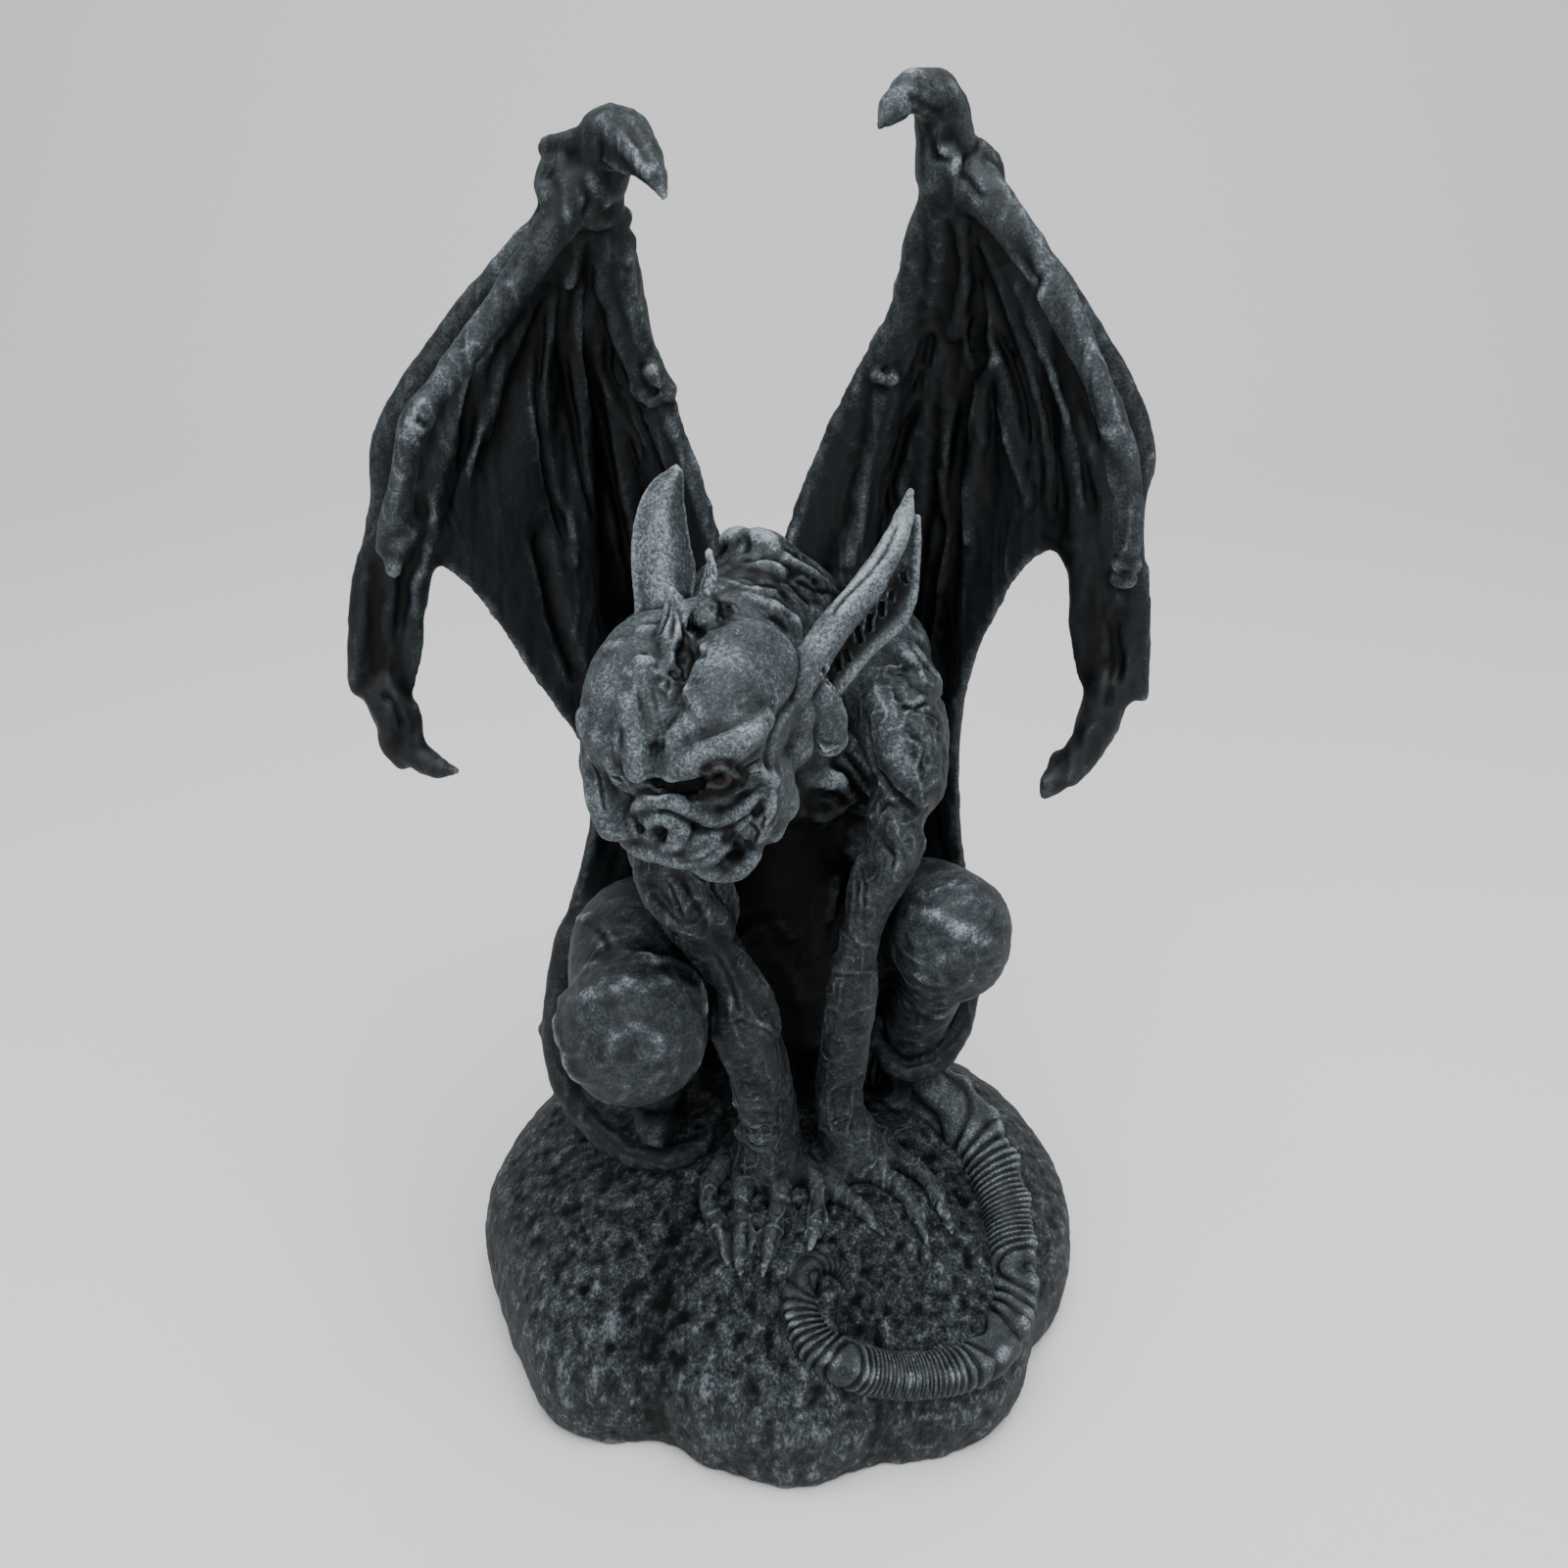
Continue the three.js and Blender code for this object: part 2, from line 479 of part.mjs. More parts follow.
// Across the skin: how high each section stands as a share of the fold depth, deep folds between ridges.
const FOLD_RELIEF = [0.2, -0.7, 1, -1, 0.5, -1, 0.9, -1, 0.5, -1, 0.6, -1, 0.6, -0.8, 0.5, -0.6, 0.4, -0.3, 0.2];
// The sections that carry a bone, with its half thickness from the wrist to the skin's edge.
const BONES = [
  { section: 2, radii: [2.2, 3.4, 3.4, 4.6, 4, 6.5] },
  { section: 6, radii: [2.2, 2.8, 2.6, 2.8, 3.2, 4] },
  { section: 18, radii: [2.2, 2.4, 2.7, 2.2, 2.4, 3.2] },
];
const FOLD_RAYS = FOLD_RELIEF.length - 1; // two sections to each ray
const FOLD_STEPS = 6; // steps along each ray

function curveThrough(points) {
  return new THREE.CatmullRomCurve3(points, false, 'centripetal');
}

// The middle surface of the skin as a grid, with its folds.
function skinGrid(rays) {
  const lengthwise = rays.map((ray) => curveThrough(ray.map(figurePoint)));
  const grid = [];
  for (let j = 0; j <= FOLD_STEPS; j++) {
    const along = j / FOLD_STEPS;
    const crosswise = curveThrough(lengthwise.map((curve) => curve.getPoint(along)));
    grid.push(Array.from({ length: FOLD_RAYS + 1 }, (_, i) => crosswise.getPoint(i / FOLD_RAYS)));
  }
  return grid;
}

function gridNormal(grid, j, i) {
  const clamp = THREE.MathUtils.clamp;
  const down = grid[clamp(j + 1, 0, FOLD_STEPS)][i].clone().sub(grid[clamp(j - 1, 0, FOLD_STEPS)][i]);
  const over = grid[j][clamp(i + 1, 0, FOLD_RAYS)].clone().sub(grid[j][clamp(i - 1, 0, FOLD_RAYS)]);
  return down.cross(over).normalize();
}

function boneThickness(section, along) {
  const bone = BONES.find((item) => item.section === section);
  if (!bone) return (MEMBRANE / 2) * (along > 0.95 ? 0.6 : 1);
  const at = Math.min(along * (bone.radii.length - 1), bone.radii.length - 1.001);
  const from = Math.floor(at);
  return THREE.MathUtils.lerp(bone.radii[from], bone.radii[from + 1], at - from) * unit;
}

function membrane(rays, facing) {
  const grid = skinGrid(rays);
  const rows = [];
  for (let i = 0; i <= FOLD_RAYS; i++) {
    const front = [];
    const back = [];
    for (let j = 0; j <= FOLD_STEPS; j++) {
      const along = j / FOLD_STEPS;
      const fold = FOLD_DEPTH * FOLD_RELIEF[i] * Math.sin(Math.PI * Math.min(0.94, 1.1 * along));
      const normal = gridNormal(grid, Math.max(j, 1), i).multiplyScalar(facing);
      const half = boneThickness(i, along);
      front.push(grid[j][i].clone().addScaledVector(normal, fold + half));
      back.push(grid[j][i].clone().addScaledVector(normal, fold * 0.7 - half));
    }
    rows.push({ front, back });
  }
  return sheet(rows);
}

function wing(shape, facing) {
  return [
    membrane(shape.rays, facing),
    limb(shape.leadingFinger, 6, 1),
    limb(shape.thumb, 7, 1),
    limb(shape.lowerClaw, 6, 1),
    mass(shape.wrist),
    limb(shape.hook, 5, 1),
    mass({ ...shape.hookKnob, ball: 'small' }),
  ];
}

const statue = union([
  rock(),
  tail(),
  ...tailWarts(),
  limb(SPINE, 10, 1),
  ...BACK.map(mass),
  limb(LEFT_ARM, 8, 1),
  limb(RIGHT_ARM, 8, 1),
  ...hand([-3, -14, 3], LEFT_FINGERS),
  ...hand([16, -11, 3], RIGHT_FINGERS),
  ...leg(LEFT_LEG),
  ...leg(RIGHT_LEG),
  ...head(),
  ...wing(LEFT_WING, 1),
  ...wing(RIGHT_WING, -1),
]);

function geometryOf(solid) {
  const { vertProperties, triVerts } = solid.getMesh();
  const geometry = new THREE.BufferGeometry();
  geometry.setAttribute('position', new THREE.BufferAttribute(vertProperties, 3));
  geometry.setIndex(new THREE.BufferAttribute(triVerts, 1));
  geometry.computeVertexNormals();
  return geometry;
}

const stoneGrey = new THREE.MeshStandardMaterial({ color: 0x41484c, roughness: 0.72, metalness: 0 });
const mesh = new THREE.Mesh(geometryOf(statue), stoneGrey);
mesh.name = 'gargoyle_statue';
const gargoyle = new THREE.Group();
gargoyle.add(mesh);

export default gargoyle;
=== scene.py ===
"""The carved and painted look of a winged gargoyle crouching on a boulder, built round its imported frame.

The pieces are shaped in millimetres, in the frame's axes, and turned to metres when they are finished.
Left and right are the viewer's, looking at the statue from the front.
"""
import math

import bmesh
import bpy
import numpy as np
from mathutils import Matrix, Vector
from mathutils.bvhtree import BVHTree


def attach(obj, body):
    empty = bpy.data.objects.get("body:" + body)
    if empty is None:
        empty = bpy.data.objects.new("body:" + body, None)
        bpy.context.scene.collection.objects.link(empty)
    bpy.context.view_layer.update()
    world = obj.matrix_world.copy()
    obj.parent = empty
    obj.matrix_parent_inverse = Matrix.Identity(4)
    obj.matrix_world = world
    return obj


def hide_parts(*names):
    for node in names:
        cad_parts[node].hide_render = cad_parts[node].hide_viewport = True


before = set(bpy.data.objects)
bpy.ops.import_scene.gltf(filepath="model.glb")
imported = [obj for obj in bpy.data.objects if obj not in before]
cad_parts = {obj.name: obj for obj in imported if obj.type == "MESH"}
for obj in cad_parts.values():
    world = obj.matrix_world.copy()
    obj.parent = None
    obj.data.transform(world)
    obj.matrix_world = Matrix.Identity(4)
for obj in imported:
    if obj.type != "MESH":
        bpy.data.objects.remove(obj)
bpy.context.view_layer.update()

MM = 0.001
ROCK_WIDTH = 142
ROCK_DEPTH = 124
ROCK_HEIGHT = 52
SEAT = 50  # height of the figure's seat; the figure's own heights are measured from it
MEMBRANE = 3.4  # thickness of the wing skin
FARTHEST_STEP = 14  # longest step between two stations of a roll of clay
HEAD_TURN = 19  # degrees, to the viewer's left
HEAD_NOD = 29  # degrees, downwards

# Voxels of the skins, in millimetres, from the first block to the finest trim.
ROCK_SKIN = 1.0
TORSO_SKINS = (1.3, 0.92)
ARM_SKINS = (1.0, 0.7, 0.5)
HEAD_SKINS = (0.8, 0.5, 0.38)
WING_SKINS = (0.9, 0.66)

# The camera, in millimetres and picture pixels. Carving is placed along its sight lines.
CAMERA_PLACE = (0.0, -295.0, 315.0)
CAMERA_PITCH = 30
PICTURE = 1600
FOCAL = 1650


# Curves and random heights.

class Rail:
    """A smooth curve through points, even where they are unevenly spaced."""

    def __init__(self, points):
        points = np.asarray(points, float)
        first = 2 * points[0] - points[1]
        last = 2 * points[-1] - points[-2]
        self.points = np.vstack([first, points, last])
        self.spans = len(points) - 1

    def at(self, shares):
        shares = np.atleast_1d(np.asarray(shares, float)) * self.spans
        span = np.clip(np.floor(shares).astype(int), 0, self.spans - 1)
        part = (shares - span)[:, None]
        before, start, end, after = (self.points[span + k] for k in range(4))
        gaps = [np.sqrt(np.linalg.norm(b - a, axis=1))[:, None] + 1e-9
                for a, b in ((before, start), (start, end), (end, after))]
        chord = (end - start) / gaps[1]
        leave = ((start - before) / gaps[0] - (end - before) / (gaps[0] + gaps[1]) + chord) * gaps[1]
        arrive = (chord - (after - start) / (gaps[1] + gaps[2]) + (after - end) / gaps[2]) * gaps[1]
        return (start + leave * part + (-3 * start + 3 * end - 2 * leave - arrive) * part ** 2
                + (2 * start - 2 * end + leave + arrive) * part ** 3)

    def along(self, shares):
        shares = np.atleast_1d(np.asarray(shares, float))
        low, high = np.clip(shares - 1e-4, 0, 1), np.clip(shares + 1e-4, 0, 1)
        return unit_rows(self.at(high) - self.at(low))


def unit_rows(vectors):
    return vectors / (np.linalg.norm(vectors, axis=-1, keepdims=True) + 1e-12)


def smooth(values, low=0.0, high=1.0):
    part = np.clip((values - low) / (high - low), 0, 1)
    return part * part * (3 - 2 * part)


def eased(values, shares):
    """Values between stations, easing from one to the next."""
    values = np.asarray(values, float)
    at = np.clip(np.asarray(shares, float) * (len(values) - 1), 0, len(values) - 1 - 1e-6)
    low = np.floor(at).astype(int)
    part = smooth(at - low)
    return values[low] + (values[low + 1] - values[low]) * part


def scattered(cells, seed):
    """A fixed random number from 0 to 1 for each cell of a grid."""
    x, y, z = (cells[..., k].astype(np.int64) for k in range(3))
    stirred = (x * 73856093) ^ (y * 19349663) ^ (z * 83492791) ^ (seed * 40503 + 12345)
    stirred = (stirred ^ (stirred >> 13)) * 1274126177
    stirred = stirred ^ (stirred >> 16)
    return (stirred & 0xFFFFFF) / float(0xFFFFFF)


def lumps(places, size, seed):
    """Smooth random heights from -1 to 1, with lumps of about the given size."""
    scaled = places / size
    cell = np.floor(scaled).astype(int)
    part = smooth(scaled - cell)
    total = np.zeros(len(places))
    for dx in (0, 1):
        for dy in (0, 1):
            for dz in (0, 1):
                weight = ((part[:, 0] if dx else 1 - part[:, 0]) * (part[:, 1] if dy else 1 - part[:, 1])
                          * (part[:, 2] if dz else 1 - part[:, 2]))
                total += weight * scattered(cell + np.array([dx, dy, dz]), seed)
    return 2 * total - 1


def rough(places, size, seed, layers=3):
    """Lumps with smaller lumps on them."""
    total = np.zeros(len(places))
    for k in range(layers):
        total += lumps(places, size / 2 ** k, seed + 11 * k) / 2 ** k
    return total / 1.6


def veins(places, size, seed):
    """Thin raised lines that branch and cross, from 0 to 1."""
    warped = places + 0.35 * size * np.stack([lumps(places, size, seed + 3 + k) for k in range(3)], axis=1)
    wide = np.abs(lumps(warped, size, seed))
    narrow = np.abs(lumps(warped, 0.6 * size, seed + 7)) + 0.1
    return 1 - np.minimum(1, 3.2 * np.minimum(wide, narrow))


# Blocking out.

def add_skin(bm, rings):
    """A closed tube through rings of points, its first and last rings filled."""
    rings = np.asarray(rings, float)
    rows, sides = rings.shape[:2]
    made = bmesh.ops.create_grid(bm, x_segments=rows - 1, y_segments=sides, size=1)["verts"]
    for vert in made:
        row = round((vert.co.x + 1) / 2 * (rows - 1))
        side = round((vert.co.y + 1) / 2 * sides) % sides
        vert.co = Vector(rings[row, side])
    bmesh.ops.remove_doubles(bm, verts=made, dist=1e-4)
    made = [vert for vert in made if vert.is_valid]
    rims = {edge for vert in made for edge in vert.link_edges if edge.is_boundary}
    if rims:
        bmesh.ops.holes_fill(bm, edges=list(rims), sides=0)


def tube_rings(points, radii, sides, per_span, flat=None):
    """Round sections along a curve, with rounded ends.

    flat is a direction and the share of the section's height that is left along it.
    """
    rail = Rail(points)
    steps = (len(points) - 1) * per_span
    shares = np.linspace(0, 1, steps + 1)
    places, ways = rail.at(shares), rail.along(shares)
    sizes = eased(radii, shares)
    reach = [0.92, 0.7, 0.4]  # the rounded ends, as shares of the radius
    shrink = [0.38, 0.72, 0.92]
    before = [(places[0] - ways[0] * sizes[0] * r, ways[0], sizes[0] * s) for r, s in zip(reach, shrink)]
    after = [(places[-1] + ways[-1] * sizes[-1] * r, ways[-1], sizes[-1] * s)
             for r, s in zip(reach[::-1], shrink[::-1])]
    stations = before + list(zip(places, ways, sizes)) + after
    side = np.cross([0, 0, 1] if abs(ways[0][2]) < 0.8 else [0, 1, 0], ways[0])
    turn = np.linspace(0, 2 * math.pi, sides, endpoint=False)
    rings = []
    for centre, way, radius in stations:
        side = side - way * side.dot(way)
        side /= np.linalg.norm(side)
        other = np.cross(way, side)
        offsets = radius * (np.cos(turn)[:, None] * side + np.sin(turn)[:, None] * other)
        if flat is not None:
            axis, share = np.asarray(flat[0], float), flat[1]
            axis = axis / np.linalg.norm(axis)
            offsets -= np.outer(offsets @ axis, axis) * (1 - share)
        rings.append(centre + offsets)
    return np.array(rings)


def add_limb(bm, stations, sides=14, per_span=4, flat=None, lift=SEAT):
    """A round limb; each station is x, y, z and a radius, with z measured from the seat."""
    stations = np.asarray(stations, float)
    points = stations[:, :3] + np.array([0, 0, lift])
    add_skin(bm, tube_rings(points, stations[:, 3], sides, per_span, flat))


def add_ball(bm, centre, radii, fineness=3):
    """A rounded mass, stretched to its half sizes, its centre measured from the seat."""
    place = Matrix.Translation(Vector(centre) + Vector((0, 0, SEAT)))
    shape = Matrix.Diagonal((*radii, 1))
    bmesh.ops.create_icosphere(bm, subdivisions=fineness, radius=1, matrix=place @ shape)


def add_wall(bm, front, back):
    """A thin sheet between two grids of points, closed all round."""
    front, back = np.asarray(front, float), np.asarray(back, float)
    rings = np.concatenate([front, back[:, ::-1]], axis=1)
    middle = [np.concatenate([m, m[::-1]]) for m in ((front[0] + back[0]) / 2, (front[-1] + back[-1]) / 2)]
    add_skin(bm, np.concatenate([[middle[0]], rings, [middle[1]]]))


def mesh_from(build, name):
    bm = bmesh.new()
    build(bm)
    mesh = bpy.data.meshes.new(name)
    bm.to_mesh(mesh)
    bm.free()
    return mesh


def remeshed(mesh, voxel):
    """The outer skin of overlapping solids as one even mesh."""
    thing = bpy.data.objects.new(mesh.name, mesh)
    bpy.context.scene.collection.objects.link(thing)
    remesh = thing.modifiers.new("skin", "REMESH")
    remesh.mode = "VOXEL"
    remesh.voxel_size = voxel
    remesh.adaptivity = 0
    made = bpy.data.meshes.new_from_object(thing.evaluated_get(bpy.context.evaluated_depsgraph_get()))
    made.name = mesh.name
    bpy.data.objects.remove(thing)
    bpy.data.meshes.remove(mesh)
    return made


class Clay:
    """A closed mesh held as numbers, with the tools that carve it."""

    def __init__(self, mesh):
        self.mesh = mesh
        count = len(mesh.vertices)
        self.place = np.empty(count * 3)
        mesh.vertices.foreach_get("co", self.place)
        self.place = self.place.reshape(-1, 3)
        self.edges = np.empty(len(mesh.edges) * 2, np.int32)
        mesh.edges.foreach_get("vertices", self.edges)
        self.edges = self.edges.reshape(-1, 2)
        self.degree = np.maximum(np.bincount(self.edges.ravel(), minlength=count), 1)[:, None]
        self.tree, self.shown, self.missed = None, None, False

    def settle(self):
        self.mesh.vertices.foreach_set("co", self.place.ravel())
        self.mesh.update()

    def normals(self):
        self.settle()
        values = np.empty(len(self.place) * 3)
        self.mesh.vertices.foreach_get("normal", values)
        return values.reshape(-1, 3)

    def averaged(self, values, rounds=1, share=1.0):
        """Each point's value blended with its neighbours'."""
        values = values if values.ndim == 2 else values[:, None]
        a, b = self.edges[:, 0], self.edges[:, 1]
        count = len(values)
        for _ in range(rounds):
            total = np.stack([
                np.bincount(a, values[b, k], count) + np.bincount(b, values[a, k], count)
                for k in range(values.shape[1])], axis=1)
            values = values + (total / self.degree - values) * share
        return values

    def relax(self, rounds, share=0.5):
        self.place = self.averaged(self.place, rounds, share)

    def lift(self, height):
        self.place = self.place + self.normals() * height[:, None]

    def aim(self):
        """Readies the sight lines that put a stroke on the surface."""
        self.settle()
        self.tree = BVHTree.FromPolygons(
            [Vector(p) for p in self.place], [tuple(face.vertices) for face in self.mesh.polygons])

    def spot(self, x, y):
        """The place under a pixel of the camera's picture, the way it faces and the sight line."""
        pitch = math.radians(CAMERA_PITCH)
        ahead = Vector((0, math.cos(pitch), -math.sin(pitch)))
        up = Vector((0, math.sin(pitch), math.cos(pitch)))
        across = Vector(((x - PICTURE / 2) / FOCAL, 0, 0))
        way = (ahead + across + up * ((PICTURE / 2 - y) / FOCAL)).normalized()
        start = Vector(CAMERA_PLACE)
        place, facing, _, _ = self.tree.ray_cast(start, way)
        self.missed = place is None
        if self.missed:
            place, facing, _, _ = self.tree.find_nearest(start + way * 400)
        return place, facing, way

    def near(self, path, width):
        """The points close to a path, how far off they are as shares of the width, and how far along."""
        if len(path[0]) == 2:
            spots = [self.spot(*point) for point in path]
            path = np.array([tuple(spot[0]) for spot in spots])
            facing = np.array([tuple(spot[1]) for spot in spots])
        else:
            path = np.asarray(path, float)
            facing = None
        low, high = path.min(0) - width * 1.6, path.max(0) + width * 1.6
        chosen = np.flatnonzero(((self.place > low) & (self.place < high)).all(1))
        best = np.full(len(chosen), 1e9)
        along = np.zeros(len(chosen))
        ways = np.zeros((len(chosen), 3))
        lengths = np.linalg.norm(np.diff(path, axis=0), axis=1)
        total, run = lengths.sum() + 1e-9, 0.0
        points = self.place[chosen]
        for k, length in enumerate(lengths):
            start, span = path[k], path[k + 1] - path[k]
            part = np.clip(((points - start) @ span) / (length ** 2 + 1e-9), 0, 1)
            off = np.linalg.norm(points - start - part[:, None] * span, axis=1)
            closer = off < best
            best = np.where(closer, off, best)
            along = np.where(closer, (run + part * length) / total, along)
            if facing is not None:
                here = facing[k] + (facing[k + 1] - facing[k]) * part[:, None]
                ways = np.where(closer[:, None], here, ways)
            run += length
        keep = best < width * 1.6
        if facing is not None:
            keep &= (self.shown[chosen] * ways).sum(1) > -0.1
        return chosen[keep], best[keep] / width, along[keep]

    def stroke(self, path, width, height, shape="swell", taper=0.25):
        """Raises or sinks the surface along a path of pixels or places. A crease has low shoulders."""
        chosen, off, along = self.near(path, width)
        ends = smooth(np.minimum(along, 1 - along), -0.001, taper)
        if shape == "crease":
            amount = np.exp(-(off * 2.2) ** 2) - 0.16 * np.exp(-((off - 0.95) * 2.6) ** 2)
        else:
            amount = np.clip(1 - off ** 2, 0, 1) ** 2
        self.place[chosen] += self.shown[chosen] * (height * amount * ends)[:, None]

    def strokes(self, rows, shape="swell", taper=0.25):
        """Several strokes, each a width, a height and its path."""
        self.shown = self.normals()
        for width, height, path in rows:
            self.stroke(path, width, height, shape, taper)

    def about(self, path, width):
        """How near each point is to a path, from 0 to 1."""
        self.shown = self.normals()
        chosen, off, _ = self.near(path, width)
        weight = np.zeros(len(self.place))
        weight[chosen] = np.clip(1 - off ** 2, 0, 1) ** 2
        return weight

    def store(self, name, values):
        data = self.mesh.attributes.get(name) or self.mesh.attributes.new(name, "FLOAT", "POINT")
        data.data.foreach_set("value", np.asarray(values, np.float32).ravel())

    def shade(self, tones):
        """Keeps where the paint is lighter, above 0, with more dry brush and painted highlight, or darker,
        below 0, with more black wash and painted shade.
        """
        total = np.zeros(len(self.place))
        for width, amount, path in tones:
            total += amount * self.about(path, width)
        self.store("tone", np.clip(total, -1.2, 1.2))

    def measure(self):
        """Keeps how far each point stands above the surface about it, closely and widely."""
        normals = self.normals()
        for name, rounds, size in (("edge_wear", 3, 0.12), ("relief", 26, 0.7)):
            height = ((self.place - self.averaged(self.place, rounds, 0.7)) * normals).sum(1)
            self.store(name, np.clip(height / size, -1.5, 1.5))

    def finish(self, name, body="root"):
        self.measure()
        self.place = self.place * MM
        self.settle()
        self.mesh.name = name
        self.mesh.shade_smooth()
        piece = bpy.data.objects.new(name, self.mesh)
        bpy.context.scene.collection.objects.link(piece)
        piece.data.materials.clear()
        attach(piece, body)
        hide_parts("gargoyle_statue")
        return piece


def lay_rolls(bm, clay, rolls, sides=12):
    """Adds rolls of clay on the surface of another piece, along paths of pixels.

    Each station is a pixel's x and y, a radius and how far the roll stands out of the surface.
    """
    for roll in rolls:
        stations = []
        for x, y, radius, height in roll:
            place, facing, way = clay.spot(x, y)
            if clay.missed or (stations and (place - last).length > FARTHEST_STEP):
                continue
            last = place
            nearer = (height - radius) / max(0.4, -way.dot(facing))
            stations.append((*(place - way * nearer), radius))
        if len(stations) > 1:
            add_limb(bm, stations, sides=sides, lift=0)


def with_more(clay, add, voxel, rounds):
    """The clay with more shapes added, melted into one skin."""
    clay.settle()
    bm = bmesh.new()
    bm.from_mesh(clay.mesh)
    add(bm)
    bm.to_mesh(clay.mesh)
    bm.free()
    melted = Clay(remeshed(clay.mesh, voxel))
    melted.relax(rounds)
    melted.aim()
    return melted


# The boulder.

# Where the boulder swells or dents in plan: degrees, millimetres and how many degrees it spreads.
ROCK_LOBES = [
    (15, 2, 15), (60, 2, 15), (130, 3, 18), (175, 3.5, 20), (222, 6, 14), (242, -4.5, 8),
    (276, 3.5, 16), (289, -2, 8), (312, 5, 14), (334, -3, 8),
]
# The boulder's reach at each share of its height.
ROCK_PROFILE = [
    (0, 0.96), (0.14, 0.99), (0.32, 1), (0.48, 0.98), (0.62, 0.92), (0.75, 0.815),
    (0.87, 0.67), (0.96, 0.47), (1, 0.12),
]
ROCK_SIDES = 96
ROCK_TOP_SHIFT = np.array([-3.0, 8.0])


def rock_reach(degrees):
    angle = np.radians(degrees)
    reach = 1 / np.hypot(np.cos(angle) / (ROCK_WIDTH / 2), np.sin(angle) / (ROCK_DEPTH / 2))
    for at, height, spread in ROCK_LOBES:
        off = (degrees - at + 540) % 360 - 180
        reach = reach + height * np.exp(-((off / spread) ** 2))
    return reach


def rock_shift(share):
    return ROCK_TOP_SHIFT * smooth(share, 0.35, 0.9)


def rock_top(x, y):
    """The height of the boulder's upper surface over a point of its plan."""
    low, high = 0.4, 1.0
    shares, reaches = zip(*ROCK_PROFILE)
    for _ in range(24):
        share = (low + high) / 2
        dx, dy = x - rock_shift(share)[0], y - rock_shift(share)[1]
        degrees = math.degrees(math.atan2(dy, dx)) % 360
        if math.hypot(dx, dy) < rock_reach(degrees) * np.interp(share, shares, reaches):
            low = share
        else:
            high = share
    return low * ROCK_HEIGHT


def block_rock(bm):
    shares, reaches = zip(*ROCK_PROFILE)
    rings = []
    degrees = np.linspace(0, 360, ROCK_SIDES, endpoint=False)
    for share in np.concatenate([np.linspace(0, 0.96, 25), [0.975, 0.99, 1.0]]):
        reach = rock_reach(degrees) * np.interp(share, shares, reaches)
        x = reach * np.cos(np.radians(degrees)) + rock_shift(share)[0]
        y = reach * np.sin(np.radians(degrees)) + rock_shift(share)[1]
        rings.append(np.stack([x, y, np.full(ROCK_SIDES, share * ROCK_HEIGHT)], axis=1))
    add_skin(bm, rings)


def model_boulder():
    clay = Clay(remeshed(mesh_from(block_rock, "boulder"), ROCK_SKIN))
    clay.relax(4)
    clay.lift(0.9 * rough(clay.place, 14, 3))
    upright = clay.place * np.array([1, 1, 0.45])
    clay.lift(0.5 * rough(upright, 3.2, 9) + 0.2 * rough(clay.place, 1.9, 19, 2))
    clay.place[:, 2] = np.maximum(clay.place[:, 2], 0)
    clay.aim()
    return clay


# The tail.

TAIL_BODY = [(-3, 38, 20), (9, 36, 10), (22, 24, 5)]
TAIL_STEPS = 620
TAIL_SIDES = 40
RING_PITCH = 3.1  # from one of the tail's rings to the next
WART_PITCH = 9.5
# The tail's radius at each share of its length.
TAIL_GIRTHS = [(0, 10), (0.2, 7.4), (0.35, 5.4), (0.55, 4.8), (0.68, 4.9), (0.78, 3.7), (0.88, 2.5),
    (0.96, 1.6), (1, 0.7)]
# Where the tail lies on the boulder: degrees and a share of the reach.
TAIL_ON_ROCK = [
    (20, 0.5), (2, 0.62), (346, 0.75), (333, 0.89), (321, 0.93), (310, 0.95), (297, 0.95),
    (285, 0.9), (277, 0.81), (274, 0.69), (279, 0.6), (287, 0.63), (289, 0.7),
]


def tail_radius(share):
    """The tail thins quickly, keeps its girth round the front of the rock and ends in a thin curl."""
    shares, girths = zip(*TAIL_GIRTHS)
    return np.interp(share, shares, girths)


def tail_points():
    points = [(x, y, z + SEAT) for x, y, z in TAIL_BODY]
    spans = len(TAIL_BODY) + len(TAIL_ON_ROCK) - 1
    for i, (degrees, share) in enumerate(TAIL_ON_ROCK):
        reach = rock_reach(degrees) * share
        x, y = reach * math.cos(math.radians(degrees)), reach * math.sin(math.radians(degrees))
        points.append((x, y, rock_top(x, y) + 0.45 * tail_radius((i + len(TAIL_BODY)) / spans)))
    return points


